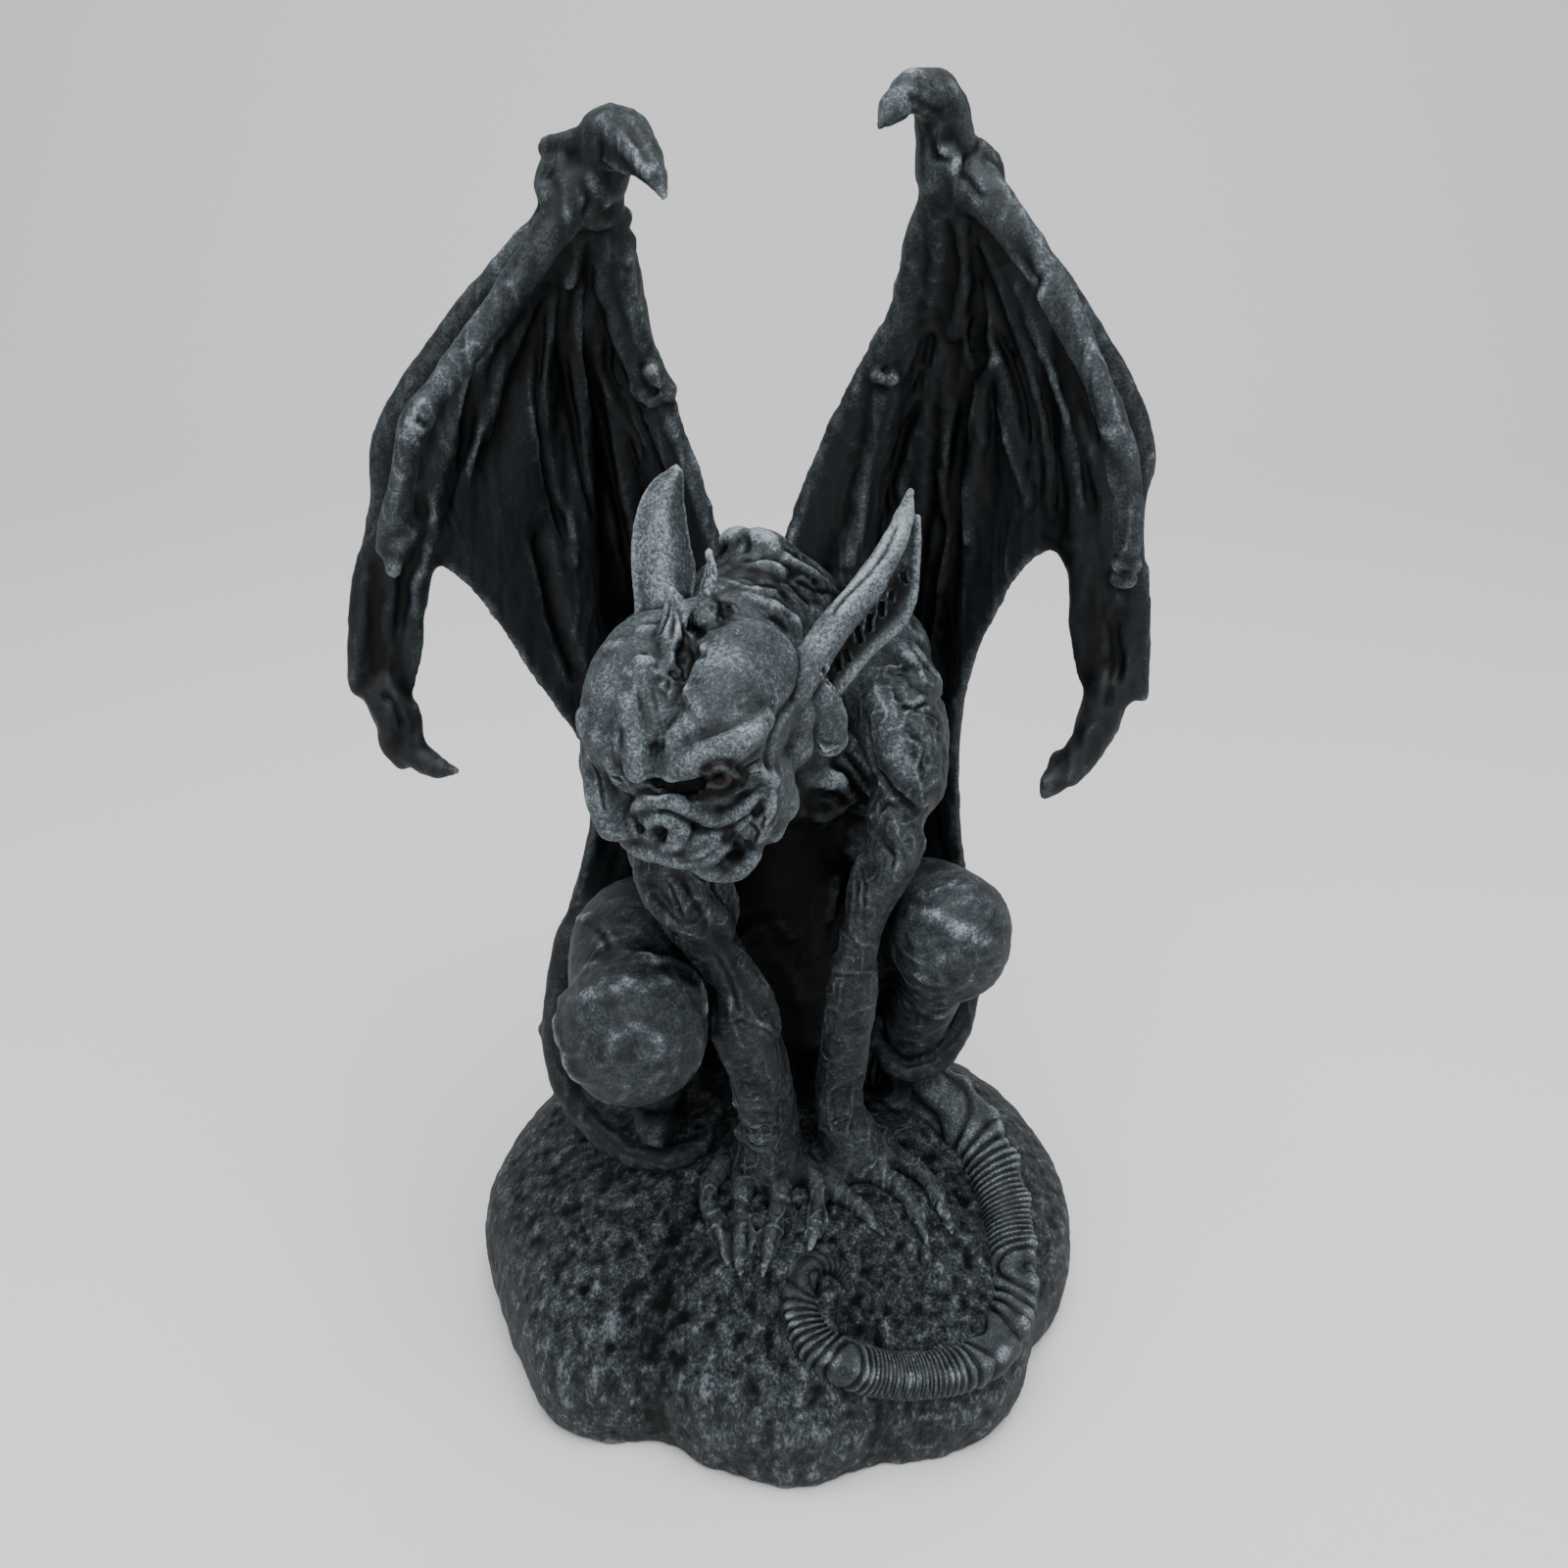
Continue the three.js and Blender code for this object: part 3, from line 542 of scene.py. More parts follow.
def make_tail():
    rail = Rail(tail_points())
    steps, sides = TAIL_STEPS, TAIL_SIDES
    shares = np.linspace(0, 1, steps + 1)
    places, ways = rail.at(shares), rail.along(shares)
    radii = tail_radius(shares)
    turn = np.linspace(0, 2 * math.pi, sides, endpoint=False)
    walked = np.concatenate([[0], np.cumsum(np.linalg.norm(np.diff(places, axis=0), axis=1))])
    rings = []
    for k in range(steps + 1):
        outward = np.cross(ways[k], [0, 0, 1])
        outward /= -np.linalg.norm(outward)
        upward = np.cross(outward, ways[k])
        upward /= np.linalg.norm(upward) * (1 if upward[2] > 0 else -1)
        pitch = RING_PITCH + 0.5 * math.sin(walked[k] * 0.11)
        skew = 2.2 * np.cos(turn - 0.6)
        groove = np.abs(np.sin(math.pi * (walked[k] + skew) / pitch))
        height = (groove ** 0.45 - 0.8) * 1.5
        ridge = np.exp(-((turn - 0.75) / 0.35) ** 2)
        wart = 0.5 + 0.5 * math.sin(walked[k] * 2 * math.pi / WART_PITCH)
        swell = ridge * (0.06 + 0.26 * wart ** 2)
        reach = radii[k] * (1 + swell) + height * min(1, radii[k] / 4)
        ring = np.cos(turn)[:, None] * outward + np.sin(turn)[:, None] * upward
        rings.append(places[k] + reach[:, None] * ring)

    def skin(bm):
        add_skin(bm, rings)
        bmesh.ops.recalc_face_normals(bm, faces=bm.faces)

    clay = Clay(mesh_from(skin, "tail"))
    clay.lift(0.16 * rough(clay.place, 2.4, 5))
    return clay.finish("tail")


# The body.

SPINE = [
    (-3, 22, 4, 20), (-3, 24, 22, 24), (-3, 22, 50, 23), (-3, 19, 80, 22), (-3, 14, 106, 24),
    (-4, 6, 126, 19), (-8, -12, 133, 13), (-13, -28, 133, 12),
]
# The masses of the hump, the shoulders and the chest: centres and half sizes.
BACK = [
    ((-5, 6, 140.5), (8, 9.5, 8.5)),
    ((13, 6, 121), (18, 14, 15)),
    ((-19, 5, 120), (18, 14, 15)),
    ((20, 2, 104), (15, 13.5, 17.5)),
    ((-25, 2, 102), (14.5, 13.5, 17.5)),
    ((-1, -7, 102), (15, 12.5, 12)),
    ((17.9, 6.0, 82.6), (8, 8, 11)),
]
LEFT_LEG = {
    "thigh": [(-18, 22, 26, 18), (-27, 10, 46, 16), (-32, -8, 58, 14.5), (-31, -24, 58, 14)],
    "knee": ((-30.8, -34, 56.5), (15.4, 15, 16.2)),
    "shin": [(-31, -27, 44, 9), (-31, -8, 24, 8), (-30, 6, 8, 7.5)],
    "foot": [(-30, 8, 3, 7), (-30.5, 0, 2, 6), (-31, -8, 0, 3)],
}
RIGHT_LEG = {
    "thigh": [(13, 26, 28, 18), (22, 16, 46, 15.5), (30, 4, 58, 13.5), (34, -5, 63, 13)],
    "knee": ((35.6, -12, 64.2), (13.3, 13.4, 15.2)),
    "shin": [(34, -6, 52, 8.5), (31, 6, 28, 8), (30, 14, 8, 7.5)],
    "foot": [(29, 17, 2, 7), (29, 11, 1, 6)],
}
SPINE_SIDE = -3  # where the spine runs, to the side of the frame's middle
VERTEBRA_HEIGHTS = [SEAT + 8 + 11 * k for k in range(9)]
RIB_COURSE = [(4, 0), (9, 3), (14, 7)]  # how far out and how far down each rib runs
# Rolls of clay along paths of pixels, with a radius and a height at each station.
TORSO_ROLLS = [
    [(623, 1074, 1.6, 0.4), (630, 1056, 1.8, 0.6), (652, 1048, 1.8, 0.6), (668, 1059, 1.8, 0.5),
     (672, 1074, 1.6, 0.3)],
    [(578, 1022, 2.2, 0.4), (606, 1018, 2.6, 0.7), (637, 1010, 2.6, 0.7), (676, 1007, 2.4, 0.5)],
    [(632, 978, 2.2, 0.5), (661, 986, 2.6, 0.9), (693, 992, 2.6, 1.0), (708, 1008, 2.4, 0.9),
     (713, 1031, 2, 0.6)],
    [(596, 940, 1.8, 0.9), (603, 939, 1.9, 1.1)],
    [(606, 993, 2.6, 0.6), (614, 991, 2.6, 0.6)],
    [(584, 1079, 2.4, 1), (588, 1089, 2.4, 1.1), (609, 1102, 2.2, 0.6)],
    [(575, 1044, 2.6, 0.6), (578, 1059, 2.6, 0.6)],
    [(938, 933, 2.4, 0.6), (961, 937, 2.8, 1), (981, 949, 2.8, 1), (1002, 959, 2.4, 0.6)],
    [(1021, 976, 2.6, 0.7), (1021, 1004, 2.4, 1.1), (1013, 1019, 2.4, 1)],
    [(932, 1018, 2.4, 0.5), (958, 1029, 2.6, 0.8), (989, 1030, 2.4, 0.6)],
    [(943, 961, 3, 0.6), (946, 989, 3, 0.6)],
    [(746, 553, 2.8, 1.9), (754, 550, 2.8, 1.9)],
    [(773, 551, 2.8, 1.8), (782, 556, 2.8, 1.8)],
    [(774, 584, 2.8, 1.5), (790, 588, 2.6, 1.4)],
    [(792, 569, 2, 1.2), (808, 579, 2, 1.2), (829, 590, 1.8, 0.8)],
    [(848, 591, 2.8, 1.4), (864, 589, 2.8, 1.4)],
    [(762, 615, 1.8, 0.8), (789, 622, 2, 1.1), (809, 636, 1.8, 0.9)],
    [(752, 600, 1.8, 0.7), (768, 606, 1.8, 0.9), (789, 610, 1.6, 0.7)],
    [(934, 689, 3.6, 1.7), (944, 697, 3.6, 1.9)],
    [(901, 652, 2.8, 0.8), (924, 670, 3, 1.2), (938, 683, 2.8, 0.9)],
    [(824, 797, 2.2, 0.9), (848, 794, 2.8, 1.8), (864, 804, 2.6, 1.4)],
    [(816, 823, 2, 0.8), (837, 827, 2.6, 1.5), (853, 821, 2.2, 1.2), (869, 809, 1.8, 0.8)],
    [(859, 774, 1.9, 1), (875, 790, 2.1, 1.3), (891, 811, 1.9, 1)],
    [(867, 761, 1.7, 0.9), (884, 778, 1.9, 1.2), (895, 797, 1.7, 0.8)],
    [(856, 749, 1.9, 0.8), (872, 752, 2, 1), (888, 762, 1.8, 0.8)],
    [(794, 933, 3.4, 1.4), (802, 947, 3.4, 1.4)],
    [(846, 894, 2.8, 1.2), (842, 930, 2.8, 1.2)],
    [(756, 958, 2.2, 1), (774, 940, 2.4, 1.2), (783, 964, 2, 0.8), (805, 992, 1.8, 0.8),
     (813, 1031, 1.6, 0.6)],
]
# Carving: a width, a height and a path of pixels for each stroke.
TORSO_CREASES = [
    (1.5, -0.42, [(606, 946), (616, 955), (623, 972)]),
    (1.6, -0.24, [(958, 982), (973, 1001), (972, 1028)]),
    (1.6, -0.24, [(992, 976), (1001, 998), (998, 1025)]),
    (1.6, -0.4, [(763, 541), (764, 556), (760, 569)]),
    (1.6, -0.35, [(752, 571), (770, 572), (794, 567), (804, 561)]),
    (1.5, -0.3, [(760, 598), (781, 597), (798, 601)]),
    (1.5, -0.3, [(765, 630), (792, 632), (808, 648)]),
    (1.4, -0.28, [(797, 590), (816, 607), (829, 620)]),
    (1.4, -0.28, [(808, 591), (832, 604), (848, 604)]),
    (1.4, -0.42, [(746, 592), (762, 595), (773, 600)]),
    (1.8, -0.9, [(840, 781), (859, 786), (872, 803), (886, 821), (899, 829)]),
    (1.8, -0.84, [(819, 809), (835, 808), (851, 811), (869, 824)]),
    (1.5, -0.66, [(859, 765), (878, 784), (891, 808)]),
    (1.5, -0.66, [(816, 837), (837, 840), (861, 828)]),
    (1.6, -0.72, [(917, 720), (934, 723), (948, 716)]),
    (1.4, -0.48, [(850, 720), (873, 711), (892, 709)]),
    (1.5, -0.42, [(924, 656), (937, 671), (952, 691)]),
]
# Where the paint is lighter, above 0, with more dry brush and painted highlight, or darker, below 0, with
# more black wash and painted shade: a width, an amount and a path.
TORSO_TONES = [
    (2, 0.3, [(578, 1021), (606, 1018), (637, 1010), (676, 1007)]),
    (2.4, 0.2, [(623, 1074), (630, 1056), (652, 1048), (668, 1059), (672, 1074)]),
    (3, 0.12, [(938, 933), (961, 937), (981, 949), (1002, 959)]),
    (9, 0.12, [(958, 921), (982, 967)]),
    # Painted shade on the belly between the arms and under the head.
    (26, -1.2, [(-2, -6, SEAT + 25), (-2, -12, SEAT + 90)]),
    # Painted shade on the neck and chest under the head.
    (9, -0.5, [(760, 700), (800, 830)]),
    (8, -0.35, [(770, 590), (860, 610)]),
]


def block_torso(bm):
    add_limb(bm, SPINE, sides=24)
    for centre, radii in BACK:
        add_ball(bm, centre, radii)
    for leg in (LEFT_LEG, RIGHT_LEG):
        add_limb(bm, leg["thigh"], sides=24)
        add_ball(bm, *leg["knee"], fineness=4)
        add_limb(bm, leg["shin"])
        add_limb(bm, leg["foot"])


def back_point(clay, height, across):
    """The hindmost point of the clay at a height and a distance to the side of the spine."""
    near = (np.abs(clay.place[:, 2] - height) < 3) & (np.abs(clay.place[:, 0] - SPINE_SIDE - across) < 3)
    rows = clay.place[near]
    return tuple(rows[np.argmax(rows[:, 1])])


def make_torso():
    base = Clay(remeshed(mesh_from(block_torso, "torso"), TORSO_SKINS[0]))
    base.relax(7)
    base.aim()
    clay = with_more(base, lambda bm: lay_rolls(bm, base, TORSO_ROLLS), TORSO_SKINS[1], 3)
    clay.strokes(TORSO_CREASES, shape="crease")
    for height in VERTEBRA_HEIGHTS:
        for side in (-1, 1):
            rib = [back_point(clay, height - drop, side * across) for across, drop in RIB_COURSE]
            clay.strokes([(2.8, -0.55, rib)], shape="crease")
        clay.strokes([(3.6, 1.3, [back_point(clay, height, 0), back_point(clay, height + 3, 0)])])
    clay.lift(0.22 * veins(clay.place, 7, 61) + 0.4 * rough(clay.place, 6, 31, 2)
              + 0.16 * rough(clay.place, 2, 35, 2))
    clay.shade(TORSO_TONES)
    return clay.finish("torso")


# The arms.

LEFT_ARM = [
    (-18, -2, 114, 11), (-22.5, -13, 108, 11), (-22, -20, 95, 10.2), (-18.5, -25, 83, 8.8),
    (-15, -26, 72.5, 5.6), (-9.6, -26, 62.5, 4.7),
    (-8.4, -25, 51.5, 6.7), (-5.5, -22, 36, 6.7), (-3.5, -18, 18.5, 6.5), (-3, -16, 6, 7.6),
]
RIGHT_ARM = [
    (16, 2, 118, 9), (22.5, -9, 114.5, 8.8), (25, -14, 105, 7.8), (22.3, -17.5, 97.5, 5.7),
    (21.8, -20, 90, 5.9), (18.4, -21, 82.5, 5.4),
    (15.6, -22, 71, 4), (14.4, -20, 56, 5.6), (13.3, -18, 38.5, 5.4), (12.5, -14, 18, 5.5),
    (15.5, -12, 6, 7.4),
]
ARM_ROLLS = [
    [(899, 713, 3, 1.4), (907, 736, 4, 2.4), (915, 762, 4.2, 2.6), (925, 787, 3.8, 2.2),
     (937, 813, 2.8, 1.2)],
    [(931, 742, 4, 1.2), (938, 768, 4.4, 1.4), (938, 790, 4, 1.2)],
    [(934, 698, 3.4, 2), (946, 702, 3.2, 1.8)],
    [(899, 833, 2.6, 0.8), (914, 844, 3.2, 1.6), (922, 864, 3.2, 1.8), (911, 889, 2.8, 1.2),
     (891, 910, 2.2, 0.5)],
    [(932, 838, 1.6, 0.8), (936, 861, 1.8, 1.0), (927, 884, 1.5, 0.6)],
    [(883, 854, 1.6, 0.6), (882, 879, 1.8, 0.8), (873, 902, 1.8, 0.8)],
    [(866, 978, 2, 0.4), (858, 1004, 2.8, 0.7), (854, 1031, 2.8, 0.6), (856, 1056, 2, 0.3)],
    [(884, 992, 2, 0.3), (880, 1017, 2.4, 0.5), (878, 1048, 2.2, 0.3)],
    [(851, 1087, 1.2, 0.4), (862, 1100, 1.2, 0.6), (875, 1092, 1.2, 0.5)],
    [(842, 1123, 1.6, 0.5), (860, 1132, 1.8, 0.8), (883, 1129, 1.6, 0.5)],
    [(658, 888, 2.6, 0.8), (666, 911, 2.8, 1.4), (686, 932, 2.8, 1.6), (707, 946, 2.4, 1.2),
     (719, 952, 1.8, 0.6)],
    [(701, 888, 1.8, 0.8), (715, 915, 2, 1.3), (730, 935, 2.6, 1.9), (741, 949, 2, 1)],
    [(679, 884, 1.6, 0.8), (693, 909, 1.7, 1.1), (704, 933, 1.5, 0.8)],
    [(731, 888, 1.7, 0.7), (744, 912, 1.9, 1.1), (747, 933, 1.8, 1)],
    [(741, 964, 1.8, 0.5), (756, 986, 2.4, 1.1), (771, 1007, 2.6, 1.3), (783, 1028, 2.2, 0.9),
     (790, 1050, 1.6, 0.5)],
    [(744, 1013, 1.6, 0.5), (753, 1031, 1.6, 0.8), (774, 1045, 1.4, 0.8), (791, 1057, 1.2, 0.5)],
    [(736, 1056, 2, 0.6), (747, 1080, 2.2, 0.9), (757, 1105, 1.8, 0.6)],
    [(768, 1062, 2, 0.5), (777, 1087, 2.4, 0.9), (788, 1111, 2, 0.6)],
    [(753, 1123, 1.5, 0.6), (774, 1125, 1.8, 0.9), (802, 1131, 1.5, 0.6)],
    [(749, 1143, 1.6, 0.6), (757, 1154, 1.8, 1), (780, 1159, 1.8, 1), (806, 1152, 1.6, 0.6)],
]
ARM_CREASES = [
    (1.7, -1.05, [(888, 724), (891, 757), (895, 782), (913, 808), (929, 822), (942, 828)]),
    (1.6, -1.05, [(883, 826), (904, 821), (924, 822), (939, 830)]),
    (1.4, -0.83, [(917, 720), (934, 723), (948, 716)]),
    (1.1, -0.38, [(901, 859), (914, 874), (909, 892)]),
    (1.1, -0.45, [(679, 894), (692, 921), (698, 941)]),
    (1.1, -0.45, [(695, 894), (707, 918), (721, 941)]),
    (1.1, -0.45, [(667, 914), (682, 929), (698, 944)]),
    (1.1, -0.45, [(719, 888), (731, 912), (744, 933)]),
    (1.2, -0.52, [(725, 964), (741, 992), (751, 1019), (756, 1041)]),
    (1.1, -0.38, [(731, 1044), (756, 1041), (780, 1050), (794, 1061)]),
    (1.0, -0.52, [(748, 1132), (756, 1143), (780, 1149), (808, 1143)]),
    (1.0, -0.38, [(750, 1113), (774, 1116), (803, 1122)]),
    (1.0, -0.45, [(834, 1137), (854, 1143), (884, 1137)]),
    (1.0, -0.3, [(878, 878), (884, 906), (881, 937), (886, 961)]),
]
# Fingers laid on the rock: pixels, radius and how far they stand out.
FINGERS = [
    [(764, 1148, 3.6, 7), (744, 1180, 3, 6.4), (728, 1200, 2.5, 5.4), (723, 1211, 2.6, 5),
     (722, 1224, 1.9, 3.6), (726, 1236, 2, 3.2)],
    [(771, 1149, 3.8, 8), (764, 1181, 3.2, 7), (759, 1206, 2.6, 6), (757, 1219, 2.7, 5.4),
     (756, 1231, 2, 3.8), (756, 1242, 2.2, 3.6)],
    [(788, 1149, 3.8, 8), (794, 1181, 3.2, 7), (796, 1207, 2.6, 6), (796, 1221, 2.7, 5.4),
     (793, 1233, 2, 3.8), (791, 1244, 2.2, 3.6)],
    [(802, 1148, 3.6, 7), (817, 1178, 3, 6.4), (829, 1197, 2.5, 5.4), (834, 1210, 2.6, 5),
     (835, 1222, 1.9, 3.6), (834, 1232, 2.1, 3.4)],
    [(851, 1154, 3.4, 6), (845, 1188, 2.6, 5), (854, 1214, 2.4, 4.2), (872, 1227, 2, 3.4),
     (884, 1239, 2.1, 3)],
    [(860, 1148, 3.8, 7), (875, 1178, 3, 6), (897, 1198, 2.7, 5), (915, 1210, 2.5, 4.4),
     (927, 1224, 2, 3.6), (935, 1239, 2.1, 3.2)],
    [(878, 1148, 3.8, 7), (901, 1171, 2.8, 5.6), (924, 1186, 2.6, 4.8), (943, 1200, 2.1, 4),
     (953, 1215, 2, 3.4), (959, 1231, 2.1, 3)],
    [(869, 1145, 4, 7), (886, 1175, 3.4, 5.6), (903, 1188, 2.8, 4.6)],
]
CLAWS = [
    [(727, 1238, 1.5, 3.2), (734, 1255, 1.5, 3), (739, 1272, 1.1, 2), (743, 1289, 0.5, 0.6)],
    [(756, 1244, 1.6, 3.8), (755, 1264, 1.6, 3.4), (755, 1286, 1.2, 2.2), (756, 1304, 0.5, 0.6)],
    [(790, 1246, 1.6, 3.8), (786, 1264, 1.6, 3.4), (782, 1286, 1.2, 2.2), (778, 1302, 0.5, 0.6)],
    [(833, 1235, 1.5, 3.4), (832, 1249, 1.5, 3), (829, 1263, 1.1, 2), (826, 1275, 0.5, 0.6)],
    [(886, 1241, 1.4, 3), (892, 1250, 1.2, 2.2), (901, 1259, 0.5, 0.6)],
    [(937, 1241, 1.5, 3.2), (941, 1255, 1.3, 2.4), (948, 1273, 0.5, 0.6)],
    [(960, 1233, 1.4, 3), (966, 1244, 1.2, 2.2), (971, 1258, 0.5, 0.6)],
]
SHEATHS = [
    [(722, 1235, 0.8, 2.2), (725, 1255, 0.9, 1.9), (733, 1273, 0.6, 1)],
    [(731, 1235, 0.8, 2.2), (741, 1250, 0.9, 1.9), (744, 1267, 0.6, 1)],
    [(749, 1243, 0.9, 2.8), (746, 1261, 0.9, 2.2), (749, 1284, 0.6, 1.1)],
    [(763, 1243, 0.9, 2.8), (766, 1261, 0.9, 2.2), (763, 1284, 0.6, 1.1)],
    [(784, 1244, 0.9, 2.8), (777, 1261, 0.9, 2.2), (775, 1281, 0.6, 1.1)],
    [(797, 1245, 0.9, 2.8), (794, 1263, 0.9, 2.2), (788, 1282, 0.6, 1.1)],
    [(828, 1232, 0.8, 2.4), (826, 1246, 0.9, 1.9), (824, 1261, 0.6, 1)],
    [(840, 1233, 0.8, 2.4), (840, 1246, 0.9, 1.9), (835, 1261, 0.6, 1)],
]
# Painted light on the backs of the hands and the right shoulder, above 0, and painted shade on the left
# forearm, below 0, over the dry brush.
ARM_TONES = [
    (9, 0.35, [(760, 1130), (775, 1185)]),
    (8, 0.3, [(855, 1140), (900, 1185)]),
    (9, 0.3, [(905, 720), (925, 770)]),
    (8, -0.3, [(735, 960), (745, 1000)]),
]
PALMS = [((-3, -14, 3.5), (10.8, 10.5, 7)), ((16, -11, 3), (10.8, 10, 6.5))]


def block_arms(bm):
    add_limb(bm, LEFT_ARM, sides=20)
    add_limb(bm, RIGHT_ARM, sides=20)
    for palm in PALMS:
        add_ball(bm, *palm)


def make_arms(rock):
    base = Clay(remeshed(mesh_from(block_arms, "arms"), ARM_SKINS[0]))
    base.relax(5)
    base.aim()

    def add_muscles(bm):
        lay_rolls(bm, base, ARM_ROLLS)
        lay_rolls(bm, rock, FINGERS)

    def add_claws(bm):
        lay_rolls(bm, rock, CLAWS, sides=8)
        lay_rolls(bm, rock, SHEATHS, sides=8)

    muscled = with_more(base, add_muscles, ARM_SKINS[1], 4)
    clay = with_more(muscled, add_claws, ARM_SKINS[2], 1)
    clay.strokes(ARM_CREASES, shape="crease")
    upright = clay.place * np.array([1, 1, 0.5])
    clay.lift(0.38 * veins(upright, 4.2, 51) + 0.25 * rough(clay.place, 3, 41, 2)
              + 0.1 * rough(clay.place, 1, 45, 2))
    clay.shade(ARM_TONES)
    return clay.finish("arms")


# The head.

HEAD_CENTRE = Vector((-16.5, -42, 131))
HEAD_MATRIX = (Matrix.Rotation(math.radians(-HEAD_TURN), 3, "Z")
               @ Matrix.Rotation(math.radians(HEAD_NOD), 3, "X"))
# The head's masses in its own axes: centres and half sizes.
HEAD_MASSES = [
    ((0, 3, 0.5), (17.4, 22.5, 16.5)),
    ((8.6, 1, 6.2), (10.8, 17, 13.2)),
    ((-7.4, 1, 5.5), (10.9, 16.8, 13.2)),
    ((0.5, -6, -7), (18, 13.5, 12.5)),
    ((2.5, -16, -8), (10.5, 7.5, 7.5)),
    ((5, -12.5, -18), (9, 7, 4.6)),
    ((-14.5, -6, -5.5), (5.6, 8.2, 8)),
    ((15.5, -6.5, -5.5), (4.6, 6.5, 8.5)),
]
LEFT_CHEEK = [(-32.6, -46.0, 130.7, 3.4), (-32.0, -49.0, 125.9, 3.6), (-30.9, -52.0, 121.7, 3.8),
    (-28.4, -54.0, 117.6, 3.4)]
# The lobes of the right cheek, and one of the brow.
CHEEK_LOBES = [
    ((1.6, -41, 133.5), (4.4, 5, 6)), ((1.4, -42.5, 127.5), (4.2, 4.2, 5)),
    ((-0.2, -47, 118.5), (3.4, 3.6, 4.4)),
    ((-2.4, -48, 113.5), (3, 3, 3.4)),
    ((-6, -41, 141), (9, 9, 9)),
]
# Horns in the head's own axes: the points of each and their radii.
BACK_HORN = ([(2.2, 12, 14.5), (1.8, 17, 18), (1.4, 19.5, 19.6), (0.6, 22, 20.8)], [2.8, 1.7, 1.2, 0.7])
FRONT_HORN = ([(0.4, 1, 11), (-0.9, 6.5, 15.2), (-2, 10.8, 18.8), (-2.9, 12.7, 22)], [6, 4.4, 2.5, 0.9])
LEFT_EAR = {
    "upper": [(-15, -30, 138), (-17.5, -24, 147), (-17, -20.5, 151), (-18, -18, 156), (-18.8, -16, 163),
        (-18.4, -15, 168.5)],
    "lower": [(-28, -31, 138), (-25.6, -29, 146), (-26.3, -24, 154), (-25.8, -20, 161),
        (-23.6, -17, 166), (-19.2, -15, 169.3)],
    "bulge": (0.2, -0.85, 0.5),
    "depth": [2.5, 3.4, 3.6, 3.2, 2.2, 0.6],
}
RIGHT_EAR = {
    "upper": [(0, -41, 137), (5.5, -38, 143), (9.5, -33, 147), (14.3, -28, 151), (19, -23, 157),
        (22.2, -17, 163.5)],
    "lower": [(7, -40, 124.5), (10, -37, 125.5), (9.2, -33, 133.5), (15, -28, 138.5),
        (22.4, -22.5, 144), (24.4, -16.5, 159)],
    "bulge": (-0.4, 0.9, 0.1),
    "depth": [1.5, 3.4, 4, 4, 3, 0.8],
}
RIGHT_EAR_EDGE = [
    (1, -43, 137, 3.4), (5.5, -38, 142.8, 3.3), (9.5, -33, 146.8, 3.1), (14.3, -28, 150.6, 3),
    (19, -23, 156.3, 2.5),
    (21.5, -19, 160.7, 1.9), (22.9, -15, 164.4, 0.8),
]
EAR_LOBE = [(2.5, -41, 138, 3.6), (5.5, -39.5, 134.5, 4.4), (7.4, -38, 129.5, 4.4),
    (8.6, -37, 125.4, 3.4)]
RIGHT_EAR_RIM = [(24.2, -16.5, 160, 0.8), (24, -19, 153, 1.1), (22.4, -22.5, 144, 1.3),
    (15, -28, 138.5, 1.4), (9.2, -33, 133.5, 1.5)]
LEFT_EAR_RIMS = [
    [(-15, -30, 138, 1.1), (-17.5, -24, 147, 1.1), (-17, -20.5, 151, 1.1), (-18, -18, 156, 1),
     (-18.8, -16, 163, 0.9), (-18.6, -15, 168, 0.7)],
    [(-28, -31, 138, 1.3), (-25.6, -29, 146, 1.3), (-26.3, -24, 154, 1.2), (-25.8, -20, 161, 1.1),
     (-23.6, -17, 166, 0.9), (-19.4, -15, 169, 0.7)],
]
EAR_WALL = 2.4
EYEBALL = [(731, 795), (736, 794)]
PUPIL = [(733, 795), (734, 795)]
CRAGGY_HORN = [(735, 622), (728, 600), (721, 570)]
CRAGGY_CREST = [(712, 640), (684, 705)]
EYE = [[(731, 796, 2.5, 1.2), (735, 794, 2.5, 1.3)]]
EYELIDS = [
    [(721, 788, 0.6, 0.8), (730, 784, 0.7, 1.2), (740, 784, 0.7, 1.3), (750, 788, 0.7, 1.1),
     (757, 795, 0.6, 0.7)],
    [(716, 808, 0.8, 0.8), (727, 811, 1, 1.3), (741, 810, 1, 1.4), (753, 804, 0.9, 1.1),
     (760, 795, 0.7, 0.7)],
]
# The nostrils, the fold over them and the upper lip.
NOSE_ROLLS = [
    [(662, 842, 0.9, 0.3), (664, 836, 1.3, 0.8), (674, 832, 1.7, 1.2), (687, 836, 2, 1.4),
     (694, 846, 2.1, 1.4), (691, 857, 1.9, 1), (682, 865, 1.6, 0.5)],
    [(647, 828, 1, 0.6), (655, 819, 1.4, 0.8), (668, 815, 1.7, 1), (688, 817, 1.8, 1.1),
     (709, 827, 1.8, 1), (731, 835, 1.9, 1), (752, 827, 1.6, 0.9), (767, 815, 1.3, 0.7),
     (776, 803, 1, 0.3)],
    [(650, 850, 1, 0.6), (645, 841, 1.2, 1), (644, 830, 1.2, 0.8)],
    [(668, 872, 1.3, 0.5), (684, 876, 1.6, 1), (702, 878, 1.7, 1.2), (721, 873, 1.7, 1.2),
     (738, 860, 1.5, 1), (750, 844, 1.3, 0.8), (762, 833, 1.1, 0.4)],
]


def head_place(point):
    """A point of the head's own axes, as a point of the figure measured from the seat."""
    return HEAD_MATRIX @ Vector(point) + HEAD_CENTRE


def head_ball(bm, centre, radii, fineness=3):
    place = Matrix.Translation(head_place(centre) + Vector((0, 0, SEAT)))
    matrix = place @ HEAD_MATRIX.to_4x4() @ Matrix.Diagonal((*radii, 1))
    bmesh.ops.create_icosphere(bm, subdivisions=fineness, radius=1, matrix=matrix)


